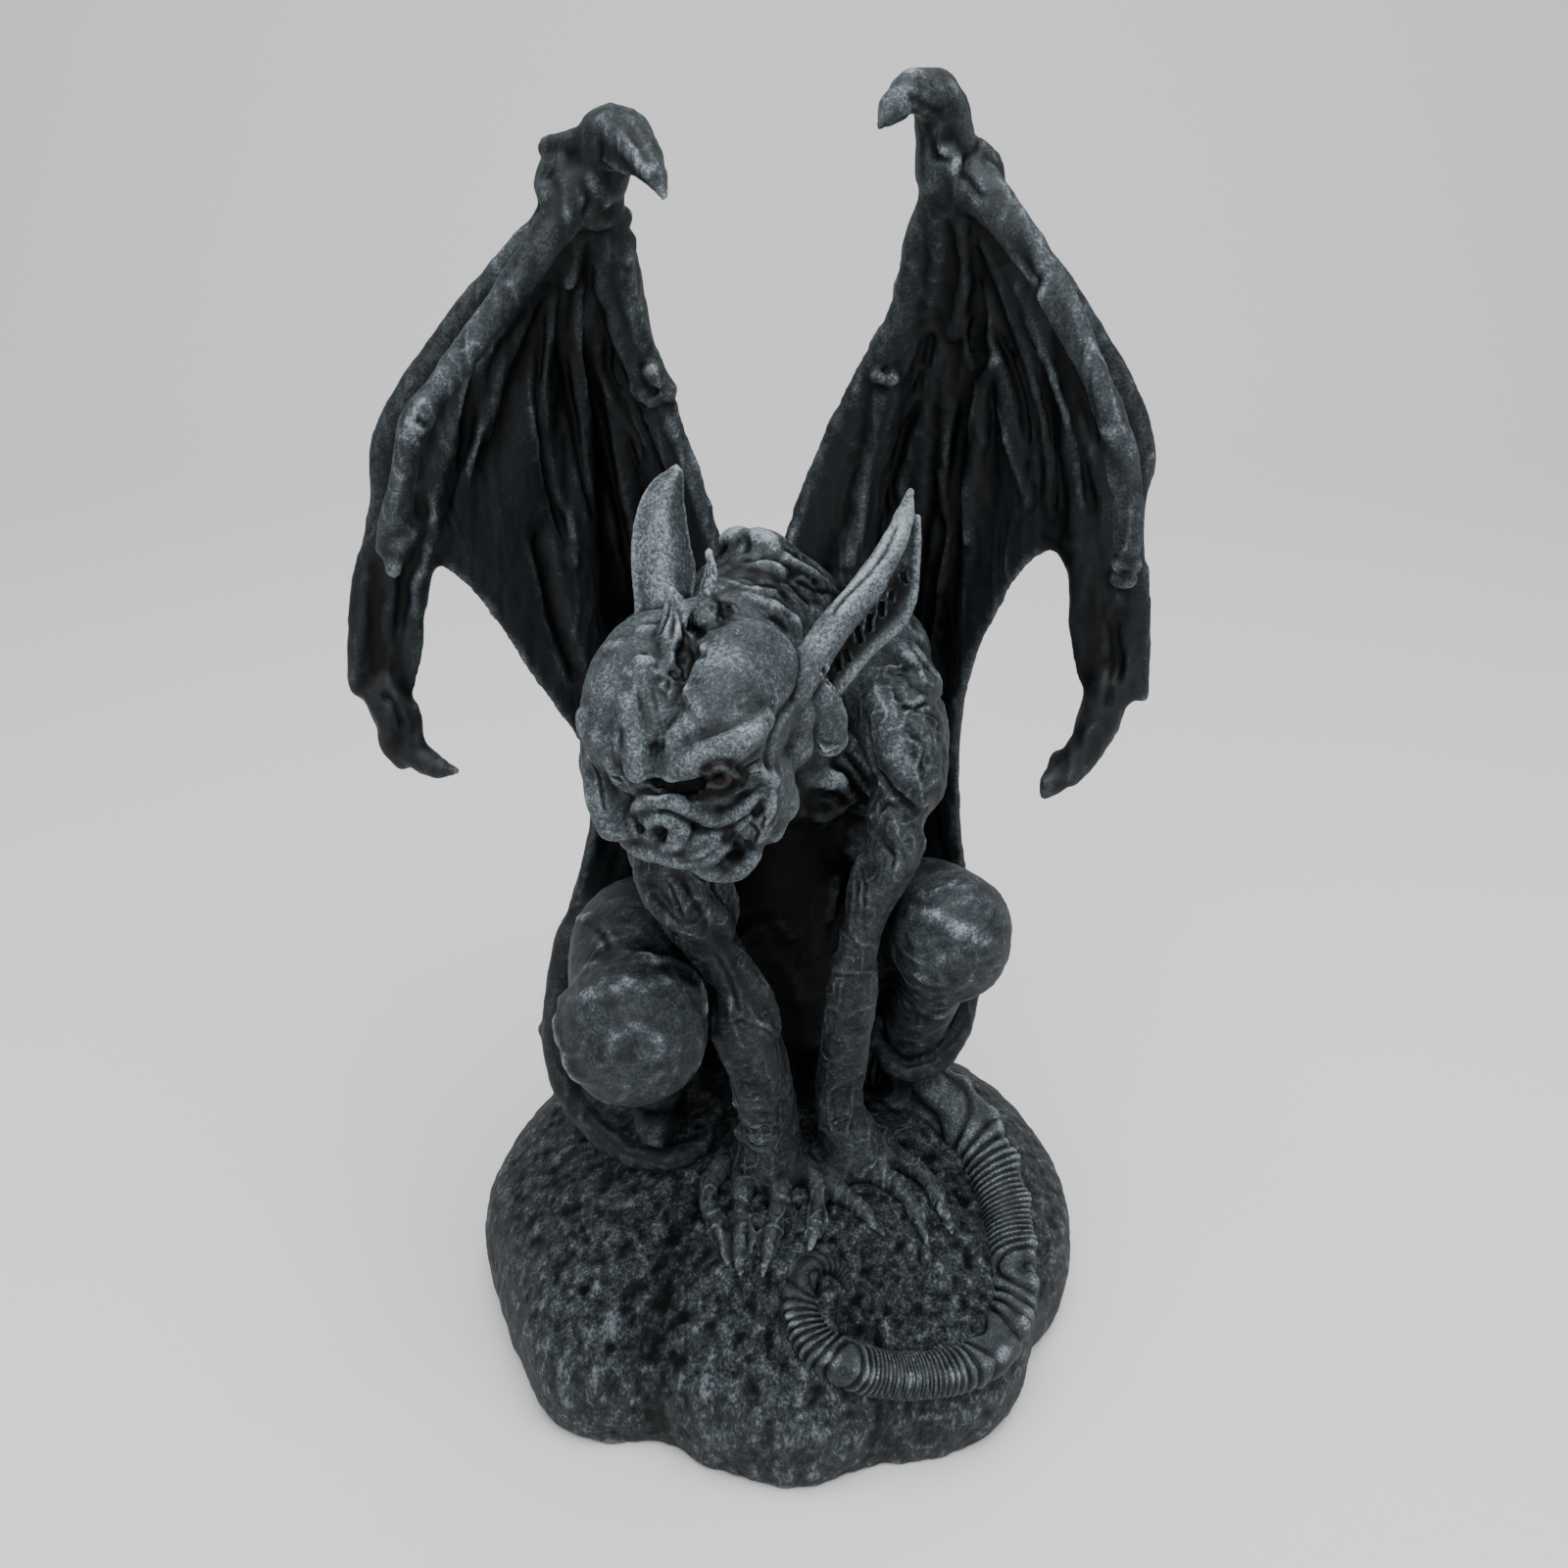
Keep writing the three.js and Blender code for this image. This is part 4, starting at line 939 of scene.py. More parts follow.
def head_limb(bm, path, radii):
    add_limb(bm, [(*head_place(point), radius) for point, radius in zip(path, radii)], sides=12)


def block_head(bm):
    for centre, radii in HEAD_MASSES:
        head_ball(bm, centre, radii)
    for centre, radii in CHEEK_LOBES:
        add_ball(bm, centre, radii)
    add_limb(bm, LEFT_CHEEK)


def add_ear(bm, ear, steps=24, across=12):
    shares = np.linspace(0, 1, steps + 1)
    upper, lower = Rail(ear["upper"]).at(shares), Rail(ear["lower"]).at(shares)
    away = np.array(ear["bulge"]) / np.linalg.norm(ear["bulge"])
    depth = np.interp(shares, np.linspace(0, 1, len(ear["depth"])), ear["depth"])
    over = np.linspace(0, 1, across + 1)
    lift = np.array([0, 0, SEAT])
    front, back = [], []
    for top, bottom, deep in zip(upper, lower, depth):
        wall = min(EAR_WALL, 0.5 * np.linalg.norm(bottom - top))
        run = top + (bottom - top) * over[:, None] + lift
        bow = (deep * np.sin(math.pi * over))[:, None] * away
        front.append(run + bow + away * wall / 2)
        back.append(run + 0.72 * bow - away * wall / 2)
    add_wall(bm, front, back)


HEAD_ROLLS = [
    [(642, 719, 2.8, 1), (644, 748, 3.2, 2.2), (649, 770, 3.3, 3), (652, 783, 2.9, 3)],
    [(716, 735, 3.4, 1), (697, 758, 3.5, 2.2), (687, 780, 3.1, 3), (685, 787, 2.8, 2.8)],
    [(687, 780, 3, 2.8), (708, 776, 3, 3.2), (729, 770, 3, 3.8), (750, 761, 2.8, 3.8),
     (767, 749, 2.6, 3), (777, 733, 2.4, 1.6)],
    [(653, 841, 1.3, 0.8), (659, 827, 1.5, 1.2), (672, 817, 1.7, 1.5), (691, 813, 1.7, 1.6),
     (710, 820, 1.6, 1.5), (732, 830, 1.6, 1.5), (755, 826, 1.5, 1.4), (771, 815, 1.4, 1.1),
     (781, 801, 1.2, 0.8)],
    [(656, 819, 1.1, 0.8), (675, 808, 1.2, 1), (700, 806, 1.3, 1), (726, 813, 1.3, 1),
     (751, 814, 1.2, 0.8)],
    [(672, 827, 2.6, 1.4), (681, 830, 2.4, 1.4)],
    [(665, 854, 1.2, 0.9), (663, 843, 1.3, 1.3), (670, 834, 1.5, 1.7), (684, 834, 1.6, 1.9),
     (695, 842, 1.7, 2), (696, 855, 1.6, 1.8), (688, 863, 1.3, 1.4), (679, 860, 1, 1)],
    [(657, 849, 1, 0.7), (651, 841, 1.2, 1), (647, 829, 1.2, 0.9)],
    [(644, 857, 2.2, 0.8), (659, 865, 2.4, 1.3), (678, 869, 2.3, 1.6), (697, 874, 2.1, 1.7),
     (716, 868, 2.1, 1.7), (730, 855, 1.9, 1.5), (742, 843, 1.7, 1.2), (758, 836, 1.5, 0.8)],
    [(705, 855, 3, 1.4), (715, 852, 2.8, 1.3)],
    [(711, 883, 1.6, 0.8), (731, 889, 2.2, 1.4), (751, 888, 2.2, 1.4), (766, 876, 1.8, 1.2),
     (773, 857, 1.4, 0.8)],
    [(772, 780, 1.5, 0.8), (786, 798, 1.9, 1.3), (787, 820, 1.9, 1.4), (780, 842, 1.8, 1.2),
     (773, 860, 1.4, 0.8)],
    [(600, 732, 2.4, 1.4), (601, 743, 2.3, 1.2)],
    [(614, 751, 2, 0.7), (608, 783, 2.2, 0.8), (611, 815, 2.6, 0.8), (624, 843, 2.8, 0.9),
     (641, 860, 2.4, 0.8)],
    [(625, 751, 1.4, 0.7), (624, 774, 1.6, 0.9), (631, 794, 1.4, 0.7)],
    [(719, 807, 0.8, 0.6), (735, 811, 0.9, 0.8), (749, 803, 0.9, 0.8), (755, 789, 0.8, 0.6)],
    [(764, 787, 1.1, 0.8), (773, 780, 1, 0.6)],
    [(766, 800, 1.1, 0.8), (775, 795, 1, 0.6)],
    [(656, 646, 1.4, 0.8), (665, 644, 1.3, 0.7)],
    [(625, 665, 2, 0.6), (635, 663, 2, 0.6)],
    [(644, 686, 1.4, 0.8), (651, 700, 1.4, 0.8), (646, 713, 1.2, 0.6)],
    [(656, 675, 1.8, 1.4), (668, 684, 1.6, 1.1), (681, 692, 1.3, 0.9), (691, 696, 1, 0.5)],
    [(656, 678, 1.8, 1.4), (656, 692, 2, 0.9), (656, 708, 1.8, 0.3)],
    [(710, 660, 1.6, 1.1), (719, 664, 1.4, 0.7)],
    [(703, 705, 1.6, 0.8), (710, 719, 1.6, 0.8), (719, 732, 1.4, 0.6)],
]
CREST_CRUSTS = [
    (694, 672, 1), (690, 684, 1.1), (685, 694, 1), (692, 694, 1.1), (684, 707, 0.9), (703, 650, 0.9),
    (710, 640, 1), (719, 632, 1.1),
    (727, 625, 1), (739, 624, 0.9), (734, 618, 0.9), (747, 621, 0.8), (676, 700, 0.8),
]
HEAD_DENTS = [
    (3.0, -2.4, [(659, 808), (678, 807), (703, 805), (726, 799), (748, 790)]),
    (2.4, -2.4, [(716, 630), (706, 645), (700, 662), (697, 680), (690, 697)]),
    (1.0, -0.8, [(708, 666), (715, 669), (722, 667)]),
    (1.6, -1.8, [(732, 619), (741, 617)]),
    (1.0, -1.2, [(668, 677), (673, 680)]),
    (1.0, -1.3, [(684, 684), (690, 688)]),
    (0.9, -1.0, [(692, 697), (696, 701)]),
    (0.9, -0.9, [(654, 664), (660, 667)]),
    (1.2, -0.9, [(706, 630), (716, 626), (724, 630)]),
    (1.6, -1.0, [(815, 705), (798, 727), (788, 750), (783, 772), (792, 792)]),
    (1.4, -0.9, [(828, 722), (830, 750), (824, 776)]),
    (1.4, -1.4, [(806, 804), (814, 803), (820, 801)]),
    (1.4, -0.8, [(795, 800), (797, 824), (785, 846)]),
    (3.2, -0.9, [(672, 755), (671, 777), (671, 796)]),
    (1.8, -0.6, [(633, 739), (634, 764), (638, 793)]),
    (2.1, -1.5, [(744, 848), (755, 858), (750, 870), (737, 875)]),
    (1.5, -1.2, [(670, 879), (697, 883), (719, 879), (732, 868)]),
    (1.8, -1.6, [(675, 851), (679, 856)]),
    (1.2, -1.0, [(654, 843), (655, 848)]),
    (1.8, -1.0, [(640, 809), (644, 834), (652, 852)]),
    (1.6, -1.0, [(764, 837), (773, 831), (774, 815)]),
    (1.6, -0.9, [(697, 841), (716, 844), (739, 842), (764, 831)]),
]
HEAD_CREASES = [
    (1.4, -0.2, [(672, 739), (668, 767), (672, 798), (668, 806)]),
    (1.1, -0.8, [(644, 805), (672, 809), (688, 807), (713, 804), (729, 790), (751, 782)]),
    (1.0, -0.2, [(634, 729), (633, 764), (637, 790), (645, 803)]),
    (1.0, -0.15, [(656, 684), (652, 710), (656, 732)]),
    (0.9, -0.15, [(665, 697), (667, 713), (672, 732)]),
    (1.5, -0.15, [(700, 719), (710, 734), (719, 739)]),
    (1.5, -0.15, [(692, 732), (700, 751), (697, 764)]),
    (0.6, -0.3, [(758, 784), (777, 773)]),
    (0.6, -0.3, [(759, 793), (780, 788)]),
    (0.6, -0.3, [(755, 805), (777, 802)]),
    (1.2, -0.15, [(700, 857), (710, 852), (726, 849)]),
    (1.0, -0.12, [(700, 874), (710, 869), (726, 860)]),
    (0.7, -0.4, [(767, 826), (780, 835), (777, 847)]),
    (0.7, -0.4, [(764, 837), (774, 849), (769, 863)]),
    (0.7, -0.3, [(598, 764), (611, 793), (617, 825), (633, 860)]),
    (0.7, -0.35, [(621, 790), (629, 794), (637, 798)]),
    (0.9, -0.5, [(812, 794), (802, 807), (797, 818)]),
    (0.6, -0.3, [(737, 847), (751, 863), (748, 879)]),
    (0.6, -0.3, [(743, 844), (761, 858), (759, 876)]),
]
EAR_RIBS = [
    (1.0, -1.0, [(840, 681), (848, 698)]), (1.0, -1.0, [(853, 670), (856, 685)]),
    (0.9, -0.8, [(862, 662), (867, 676)]),
    (1.0, -1.1, [(875, 638), (878, 657)]), (1.0, -1.1, [(888, 626), (886, 645)]),
    (1.0, -1.1, [(900, 613), (899, 630)]),
    (0.9, -0.8, [(910, 603), (908, 615)]), (0.9, -0.8, [(921, 583), (924, 596)]),
    (1.3, -0.4, [(845, 632), (861, 610), (889, 582), (905, 560), (918, 530)]),
]
HORN_WRINKLES = [
    [(684, 610), (680, 630), (671, 652)], [(686, 610), (687, 632), (684, 658)],
    [(689, 612), (695, 632), (699, 655)],
]
# Painted highlights on the dome, the brow and the ears, above 0, and painted shade in the eye socket, the
# nostrils, the dents of the muzzle and the holes of the crest, below 0, over the dry brush and black wash.
HEAD_TONES = [
    (3, -0.8, [(680, 805), (705, 806)]),
    (2.2, -0.8, [(712, 806), (722, 812), (745, 811), (758, 803)]),
    (2, -0.8, [(714, 797), (724, 786), (746, 783), (760, 794)]),
    (2.6, -0.9, [(746, 855), (750, 872)]),
    (1.4, -1, [(675, 850), (679, 856)]),
    (1, -0.7, [(653, 843), (655, 848)]),
    (2.5, -1, [(735, 620), (742, 617)]),
    (2, -0.5, [(712, 640), (702, 655), (697, 672), (692, 692)]),
    (1.6, -0.5, [(738, 619), (744, 617)]),
    # A painted highlight on the right dome.
    (5, 0.35, [(730, 668), (745, 672)]),
    (7, 0.25, [(870, 600), (925, 525)]),
    (9, 0.2, [(670, 530), (665, 590)]),
    (14, -0.15, [(735, 650), (760, 720)]),
    (4, 0.1, [(838, 655), (880, 600), (920, 530)]),
    (3, -0.6, [(846, 686), (880, 650), (905, 622), (922, 590)]),
    (4, 0.35, [(755, 740), (767, 742)]),
]


def make_head():
    base = Clay(remeshed(mesh_from(block_head, "head"), HEAD_SKINS[0]))
    base.relax(4)
    base.aim()

    def add_rolls(bm):
        lay_rolls(bm, base, HEAD_ROLLS)
        head_limb(bm, *FRONT_HORN)

    melted = with_more(base, add_rolls, HEAD_SKINS[1], 3)
    melted.strokes(HEAD_DENTS, taper=0.12)
    melted.relax(1)
    melted.aim()

    def add_trim(bm):
        head_limb(bm, *BACK_HORN)
        for x, y, radius in CREST_CRUSTS:
            crumb = [(x, y, radius, 0.7 * radius), (x + 3, y + 4, 0.8 * radius, 0.4 * radius)]
            lay_rolls(bm, melted, [crumb], sides=7)
        lay_rolls(bm, melted, EYE + EYELIDS + NOSE_ROLLS)
        add_ear(bm, LEFT_EAR)
        add_ear(bm, RIGHT_EAR)
        add_limb(bm, RIGHT_EAR_EDGE)
        for rim in [RIGHT_EAR_RIM] + LEFT_EAR_RIMS:
            add_limb(bm, rim, sides=10)
        add_limb(bm, EAR_LOBE, flat=((-0.3, 0.9, -0.2), 0.55))

    clay = with_more(melted, add_trim, HEAD_SKINS[2], 2)
    clay.strokes(HEAD_CREASES, shape="crease")
    clay.strokes([(1.1, -0.4, path) for path in HORN_WRINKLES], shape="crease")
    clay.strokes(EAR_RIBS, shape="crease", taper=0.1)
    craggy = np.maximum(clay.about(CRAGGY_HORN, 5), 0.7 * clay.about(CRAGGY_CREST, 4))
    clay.lift(craggy * (0.9 * rough(clay.place, 2.6, 71) - 0.3))
    clay.lift(0.16 * rough(clay.place, 2.6, 8) + 0.05 * rough(clay.place, 0.9, 18))
    clay.store("eye", clay.about(EYEBALL, 2.6))
    clay.store("pupil", clay.about(PUPIL, 2.4))
    clay.shade(HEAD_TONES)
    return clay.finish("head")


# The wings.

LEFT_WING = {
    "rays": [
        [(-30.5, 8, 211), (-30, 10, 203), (-28.5, 13, 192), (-24.5, 15, 178), (-17.5, 14, 156),
         (-8, 9, 128)],
        [(-31.5, 8, 212), (-31, 14, 202), (-30, 19, 190), (-28.5, 24, 172.5), (-25, 26, 154.5),
         (-19, 20, 126)],
        [(-32.5, 8, 212), (-31.5, 17, 194), (-30, 27, 168.5), (-28, 34, 138.5), (-25, 36, 103.5),
         (-23.5, 34, 72.5)],
        [(-33.5, 8, 211.5), (-35, 22, 183.5), (-35, 33, 143), (-35.5, 35, 100), (-41.5, 24, 67.5),
         (-49, 8, 46)],
        [(-34, 8, 211.5), (-36.5, 18, 190), (-38.5, 26, 164.5), (-39.5, 29, 136), (-40, 26, 107),
         (-42, 20, 80)],
        [(-34.5, 8, 211.5), (-40, 15, 194.5), (-44, 20, 174.5), (-46.5, 21, 154), (-50, 18, 134),
         (-53, 14, 112.5)],
        [(-35, 8, 212), (-43, 12, 198.5), (-50.5, 15, 183.5), (-57, 14, 168.5), (-63, 10, 155),
         (-68.5, 4, 142)],
        [(-35, 8, 212.5), (-45, 11, 198), (-56, 11, 181), (-63.5, 8, 165), (-68.5, 5, 150),
         (-72.7, 1, 132)],
        [(-35.5, 8, 213), (-49, 9, 196), (-65, 7, 175), (-72, 3, 153), (-76, 0, 134), (-76, -3, 116)],
        [(-36, 8, 214), (-54, 7, 196.5), (-75, 4, 169.5), (-78, 2, 155), (-83.5, 0, 137),
         (-84.3, -4, 120.5)],
    ],
    "facing": 1,
    "leading_finger": [
        (-35, 6, 214.5, 5), (-41.6, 1, 206, 3.6), (-51.2, -5, 194.2, 2.7), (-61.9, -11, 181.6, 2.6),
        (-65.9, -13, 176.5, 3),
        (-69.1, -13, 166, 2.3), (-71.8, -12, 155, 2.5), (-73.8, -11, 147.5, 1.4),
    ],
    "thumb": [
        (-33, 8, 215, 5.6), (-30.4, 5, 222, 5.2), (-27, 1, 222.4, 4.6), (-24, -3, 219.8, 3.4),
        (-21.7, -7, 217.3, 2.3),
        (-20.1, -10, 214.2, 0.9),
    ],
    "lower_claw": [(-80.7, -3, 119, 4.4), (-78.6, -5, 113.5, 4.6), (-77.2, -6, 109, 4),
        (-73.5, -8.5, 105.6, 2.9), (-69.5, -10.5, 104.4, 2.3), (-65.8, -12.5, 105, 1.3)],
    "wrist": ((-37, 9, 213.5), (7.6, 6, 7.6)),
    "hook": [
        (-48.2, 9, 50, 4), (-51.4, 4, 37.5, 3.8), (-52.8, 2, 25, 3.6), (-51.5, -1, 14, 3.4),
        (-45.5, -6, 6.5, 3.3),
        (-36, -12, 2.5, 3.1), (-25.5, -14, 2.5, 2.8), (-18.5, -10, 4, 2.2), (-16.5, -4, 6.5, 1.2),
    ],
    "hook_knob": ((-55.5, 4, 26), (2.4, 2.4, 2.4)),
    "kink": [(-73.6, 6.0, 172.8, 1.6), (-77.3, 5.0, 168.2, 1.3), (-76.6, 5.0, 162.3, 1.6)],
    "hook_grooves": [[(558, 1040), (572, 1090), (599, 1142), (637, 1176), (680, 1188), (712, 1180)],
        [(566, 1035), (586, 1100), (620, 1150), (660, 1172), (700, 1172)]],
}
RIGHT_WING = {
    "rays": [
        [(24.2, 0, 214), (23, 3.5, 204), (20, 8, 191), (12.5, 12.5, 175), (5.4, 14, 158.5),
         (-5, 8, 130)],
        [(26, 0, 214.5), (25, 6, 204.5), (24, 11, 192), (20.5, 16, 175.5), (17, 20, 156.5),
         (10, 17, 126)],
        [(26.5, 0, 213.5), (26.5, 9, 196), (26.5, 20, 170.5), (25.5, 29, 140.5), (23.5, 33, 105),
         (22, 33, 74)],
        [(27, 0, 213), (30, 13, 186), (32, 25, 146), (31.5, 30, 102.5), (36, 25, 67.5), (43, 14, 44)],
        [(27.5, 0, 213), (32.5, 9, 192), (36, 16, 168), (37.5, 20, 139.5), (37.5, 20, 112.5),
         (37.5, 19, 87)],
        [(28.5, 0, 213), (34.5, 6, 196.5), (39, 10, 181), (42, 12, 165), (43.5, 12, 149),
         (43.5, 10, 130)],
        [(29, 0, 213), (37, 3, 200), (43.5, 5, 186), (48, 5, 173), (51, 3, 160.5), (52.5, 0, 147)],
        [(29.5, 0, 214), (39, 2, 201), (47, 2, 186), (52, 1, 170), (55, -1, 153), (57.1, -3, 138)],
        [(30, 0, 214.5), (42, -1, 201), (54, -3, 183), (58, -5, 162), (59.8, -7, 140),
         (58.6, -9.5, 122.5)],
        [(30, 0, 215.5), (44.9, -2, 203), (65.8, -5, 171.5), (65.5, -7, 158.5), (67.6, -9, 138),
         (67.8, -12, 124)],
    ],
    "facing": -1,
    "leading_finger": [
        (30.5, -1, 216.5, 4.9), (36.8, -7, 211.5, 3.5), (44.3, -13, 201.6, 2.6),
        (52.1, -19, 188.7, 2.4),
        (57.1, -20, 179, 2.8),
        (59.6, -20, 168.4, 2.3), (61.8, -20, 158.3, 2.5), (62.5, -19, 149, 1.4),
    ],
    "thumb": [
        (28, 0, 217, 5.6), (27.2, 0, 224.5, 5), (25.4, -3, 229.3, 4.4), (21.8, -7, 230.6, 3.6),
        (18.4, -11, 229.2, 2.7),
        (15.2, -15.5, 225.8, 0.9),
    ],
    "lower_claw": [(63.7, -11, 123, 4.4), (62.1, -12.5, 116.4, 4.4), (59.6, -14.5, 111.4, 3.7),
        (56.4, -16.5, 108, 3), (53.4, -18.5, 105.6, 2.3), (51.2, -20, 104, 1.4)],
    "wrist": ((31.5, 1, 215), (7, 5.5, 7.5)),
    "hook": [
        (41, 15, 50, 4), (42.2, 11, 37, 3.8), (41, 6, 26.5, 3.6), (36, 2, 19, 3.3), (29, 0, 17.5, 3),
        (24, 1, 20, 2.6), (21.5, 4, 24.5, 2.2), (23.5, 7, 27.5, 1.8), (27.5, 8, 25.5, 1.2),
    ],
    "hook_knob": ((44.8, 11, 34), (2.4, 2.4, 2.4)),
    "kink": [(65.3, -1.0, 172.0, 1.6), (68.9, -2.0, 167.4, 1.3), (67.5, -3.0, 162.0, 1.6)],
    "hook_grooves": [[(905, 1078), (925, 1088), (950, 1082), (975, 1060), (988, 1035)]],
}
WING_SECTIONS = 18  # the bones are placed by counting these across the wing
FOLD_DEPTH = 2.8
# The folds' heights across the wing, and the radii along three of its bones.
FOLD_RELIEF = [0.2, -0.7, 1, -1, 0.5, -1, 0.9, -1, 0.5, -1, 0.6, -1, 0.6, -0.8, 0.5, -0.6, 0.4, -0.3,
    0.2]
BONES = [
    (2, [2.2, 3.4, 3.4, 4.6, 4, 6.5]),
    (6, [2.2, 2.8, 2.6, 2.8, 3.2, 4]),
    (18, [2.2, 2.4, 2.7, 2.2, 2.4, 3.2]),
]
LEFT_WING_ROLLS = [
    [(626, 205, 2.21, 0.7), (618, 254, 2.58, 1.12), (627, 302, 2.58, 1.19), (641, 351, 2.76, 1.4),
     (660, 394, 2.94, 1.68), (674, 438, 2.39, 1.33), (689, 477, 2.21, 0.98)],
    [(667, 380, 2.2, 2.6), (680, 399, 2.2, 2.4)],
    [(651, 394, 2, 2.2), (665, 407, 2, 2.4)],
    [(606, 239, 1.5, 0.8), (614, 288, 1.7, 1.2), (630, 336, 1.5, 1.1), (635, 385, 1.2, 0.7)],
    [(594, 239, 1, 0.8), (580, 288, 1.4, 1.6), (583, 351, 1.5, 1.8), (592, 409, 1.5, 1.8),
     (607, 487, 1.4, 1.7), (621, 554, 1.3, 1.5), (637, 622, 1, 0.8)],
    [(568, 244, 1, 0.8), (561, 293, 1.4, 1.4), (566, 351, 1.5, 1.5), (571, 409, 1.6, 1.7),
     (578, 487, 1.5, 1.6), (592, 545, 1.3, 1.5), (612, 603, 1.2, 1.3), (622, 647, 1, 0.8)],
    [(546, 273, 1, 0.8), (534, 312, 1.5, 1.5), (530, 351, 1.6, 1.6), (534, 428, 1.7, 1.7),
     (540, 477, 1.6, 1.6), (554, 535, 1.5, 1.5), (569, 588, 1.4, 1.4), (574, 603, 1, 0.7)],
    [(517, 346, 1.2, 0.7), (505, 399, 1.5, 1), (495, 443, 1.3, 0.7)],
    [(582, 520, 1.2, 0.8), (584, 574, 1.3, 1.1), (595, 642, 1.2, 0.8)],
    [(621, 399, 1, 0.6), (626, 472, 1.2, 1), (634, 535, 1, 0.6)],
    [(471, 361, 1.2, 0.6), (464, 419, 1.3, 0.9), (449, 477, 1.2, 0.8), (442, 525, 1, 0.5)],
    [(433, 411, 2.39, 0.98), (424, 433, 2.58, 1.26)],
    [(417, 443, 2.2, 1.2), (407, 496, 2.12, 0.77), (398, 535, 2.2, 1), (395, 559, 2, 0.9)],
    [(415, 545, 2, 1.2), (407, 554, 2, 1.4)],
    [(402, 569, 1.6, 1.2), (401, 581, 1.4, 0.8)],
    [(563, 152, 2.39, 0.7), (592, 145, 2.39, 0.7)],
    [(556, 190, 2.2, 1.1), (563, 201, 2.2, 1.1)],
    [(602, 186, 2.2, 1.2), (614, 201, 2.2, 1.3)],
    [(578, 220, 2, 0.9), (604, 222, 2.2, 1.2), (636, 220, 2, 0.9)],
    [(641, 244, 1.8, 0.9), (640, 264, 1.8, 0.9)],
    [(619, 128, 2.2, 0.8), (641, 147, 2.2, 1.1), (665, 176, 1.8, 0.9)],
    [(614, 159, 1.8, 0.8), (641, 169, 1.8, 0.8)],
    [(379, 705, 2.2, 0.8), (396, 739, 2.21, 0.7), (396, 758, 2.21, 0.84), (411, 775, 2.2, 0.9)],
    [(418, 724, 2.2, 0.7), (425, 758, 2, 0.7)],
    [(374, 588, 1.6, 0.6), (368, 642, 1.6, 0.7), (365, 690, 1.6, 0.6)],
]
LEFT_WING_DENTS = [
    (2.0, -2.2, [(603, 249), (598, 331), (608, 409), (621, 477), (636, 545), (647, 603)]),
    (1.7, -1.8, [(551, 312), (548, 399), (558, 477), (572, 535), (582, 569)]),
    (3.2, -2.2, [(544, 525), (558, 584), (571, 642), (595, 710)]),
    (2.4, -1.8, [(510, 312), (488, 370), (477, 448), (471, 496), (453, 550)]),
    (1.5, -1.4, [(574, 264), (571, 331), (579, 399), (592, 477), (607, 545)]),
    (1.8, -1.4, [(621, 331), (619, 380), (641, 428), (660, 477)]),
    (2.2, -1.4, [(428, 496), (435, 545), (413, 593), (403, 666)]),
    (1.2, -1.0, [(423, 426), (437, 436)]),
    (1.1, -1.0, [(654, 416), (667, 399), (684, 394)]),
    (1.2, -0.9, [(592, 181), (602, 205), (592, 225)]),
    (1.2, -0.9, [(612, 138), (612, 167), (641, 179)]),
    (1.2, -0.7, [(636, 123), (655, 152), (674, 191)]),
    (1.2, -0.9, [(389, 705), (403, 719), (413, 748)]),
    (1.2, -0.8, [(418, 777), (442, 763)]),
]
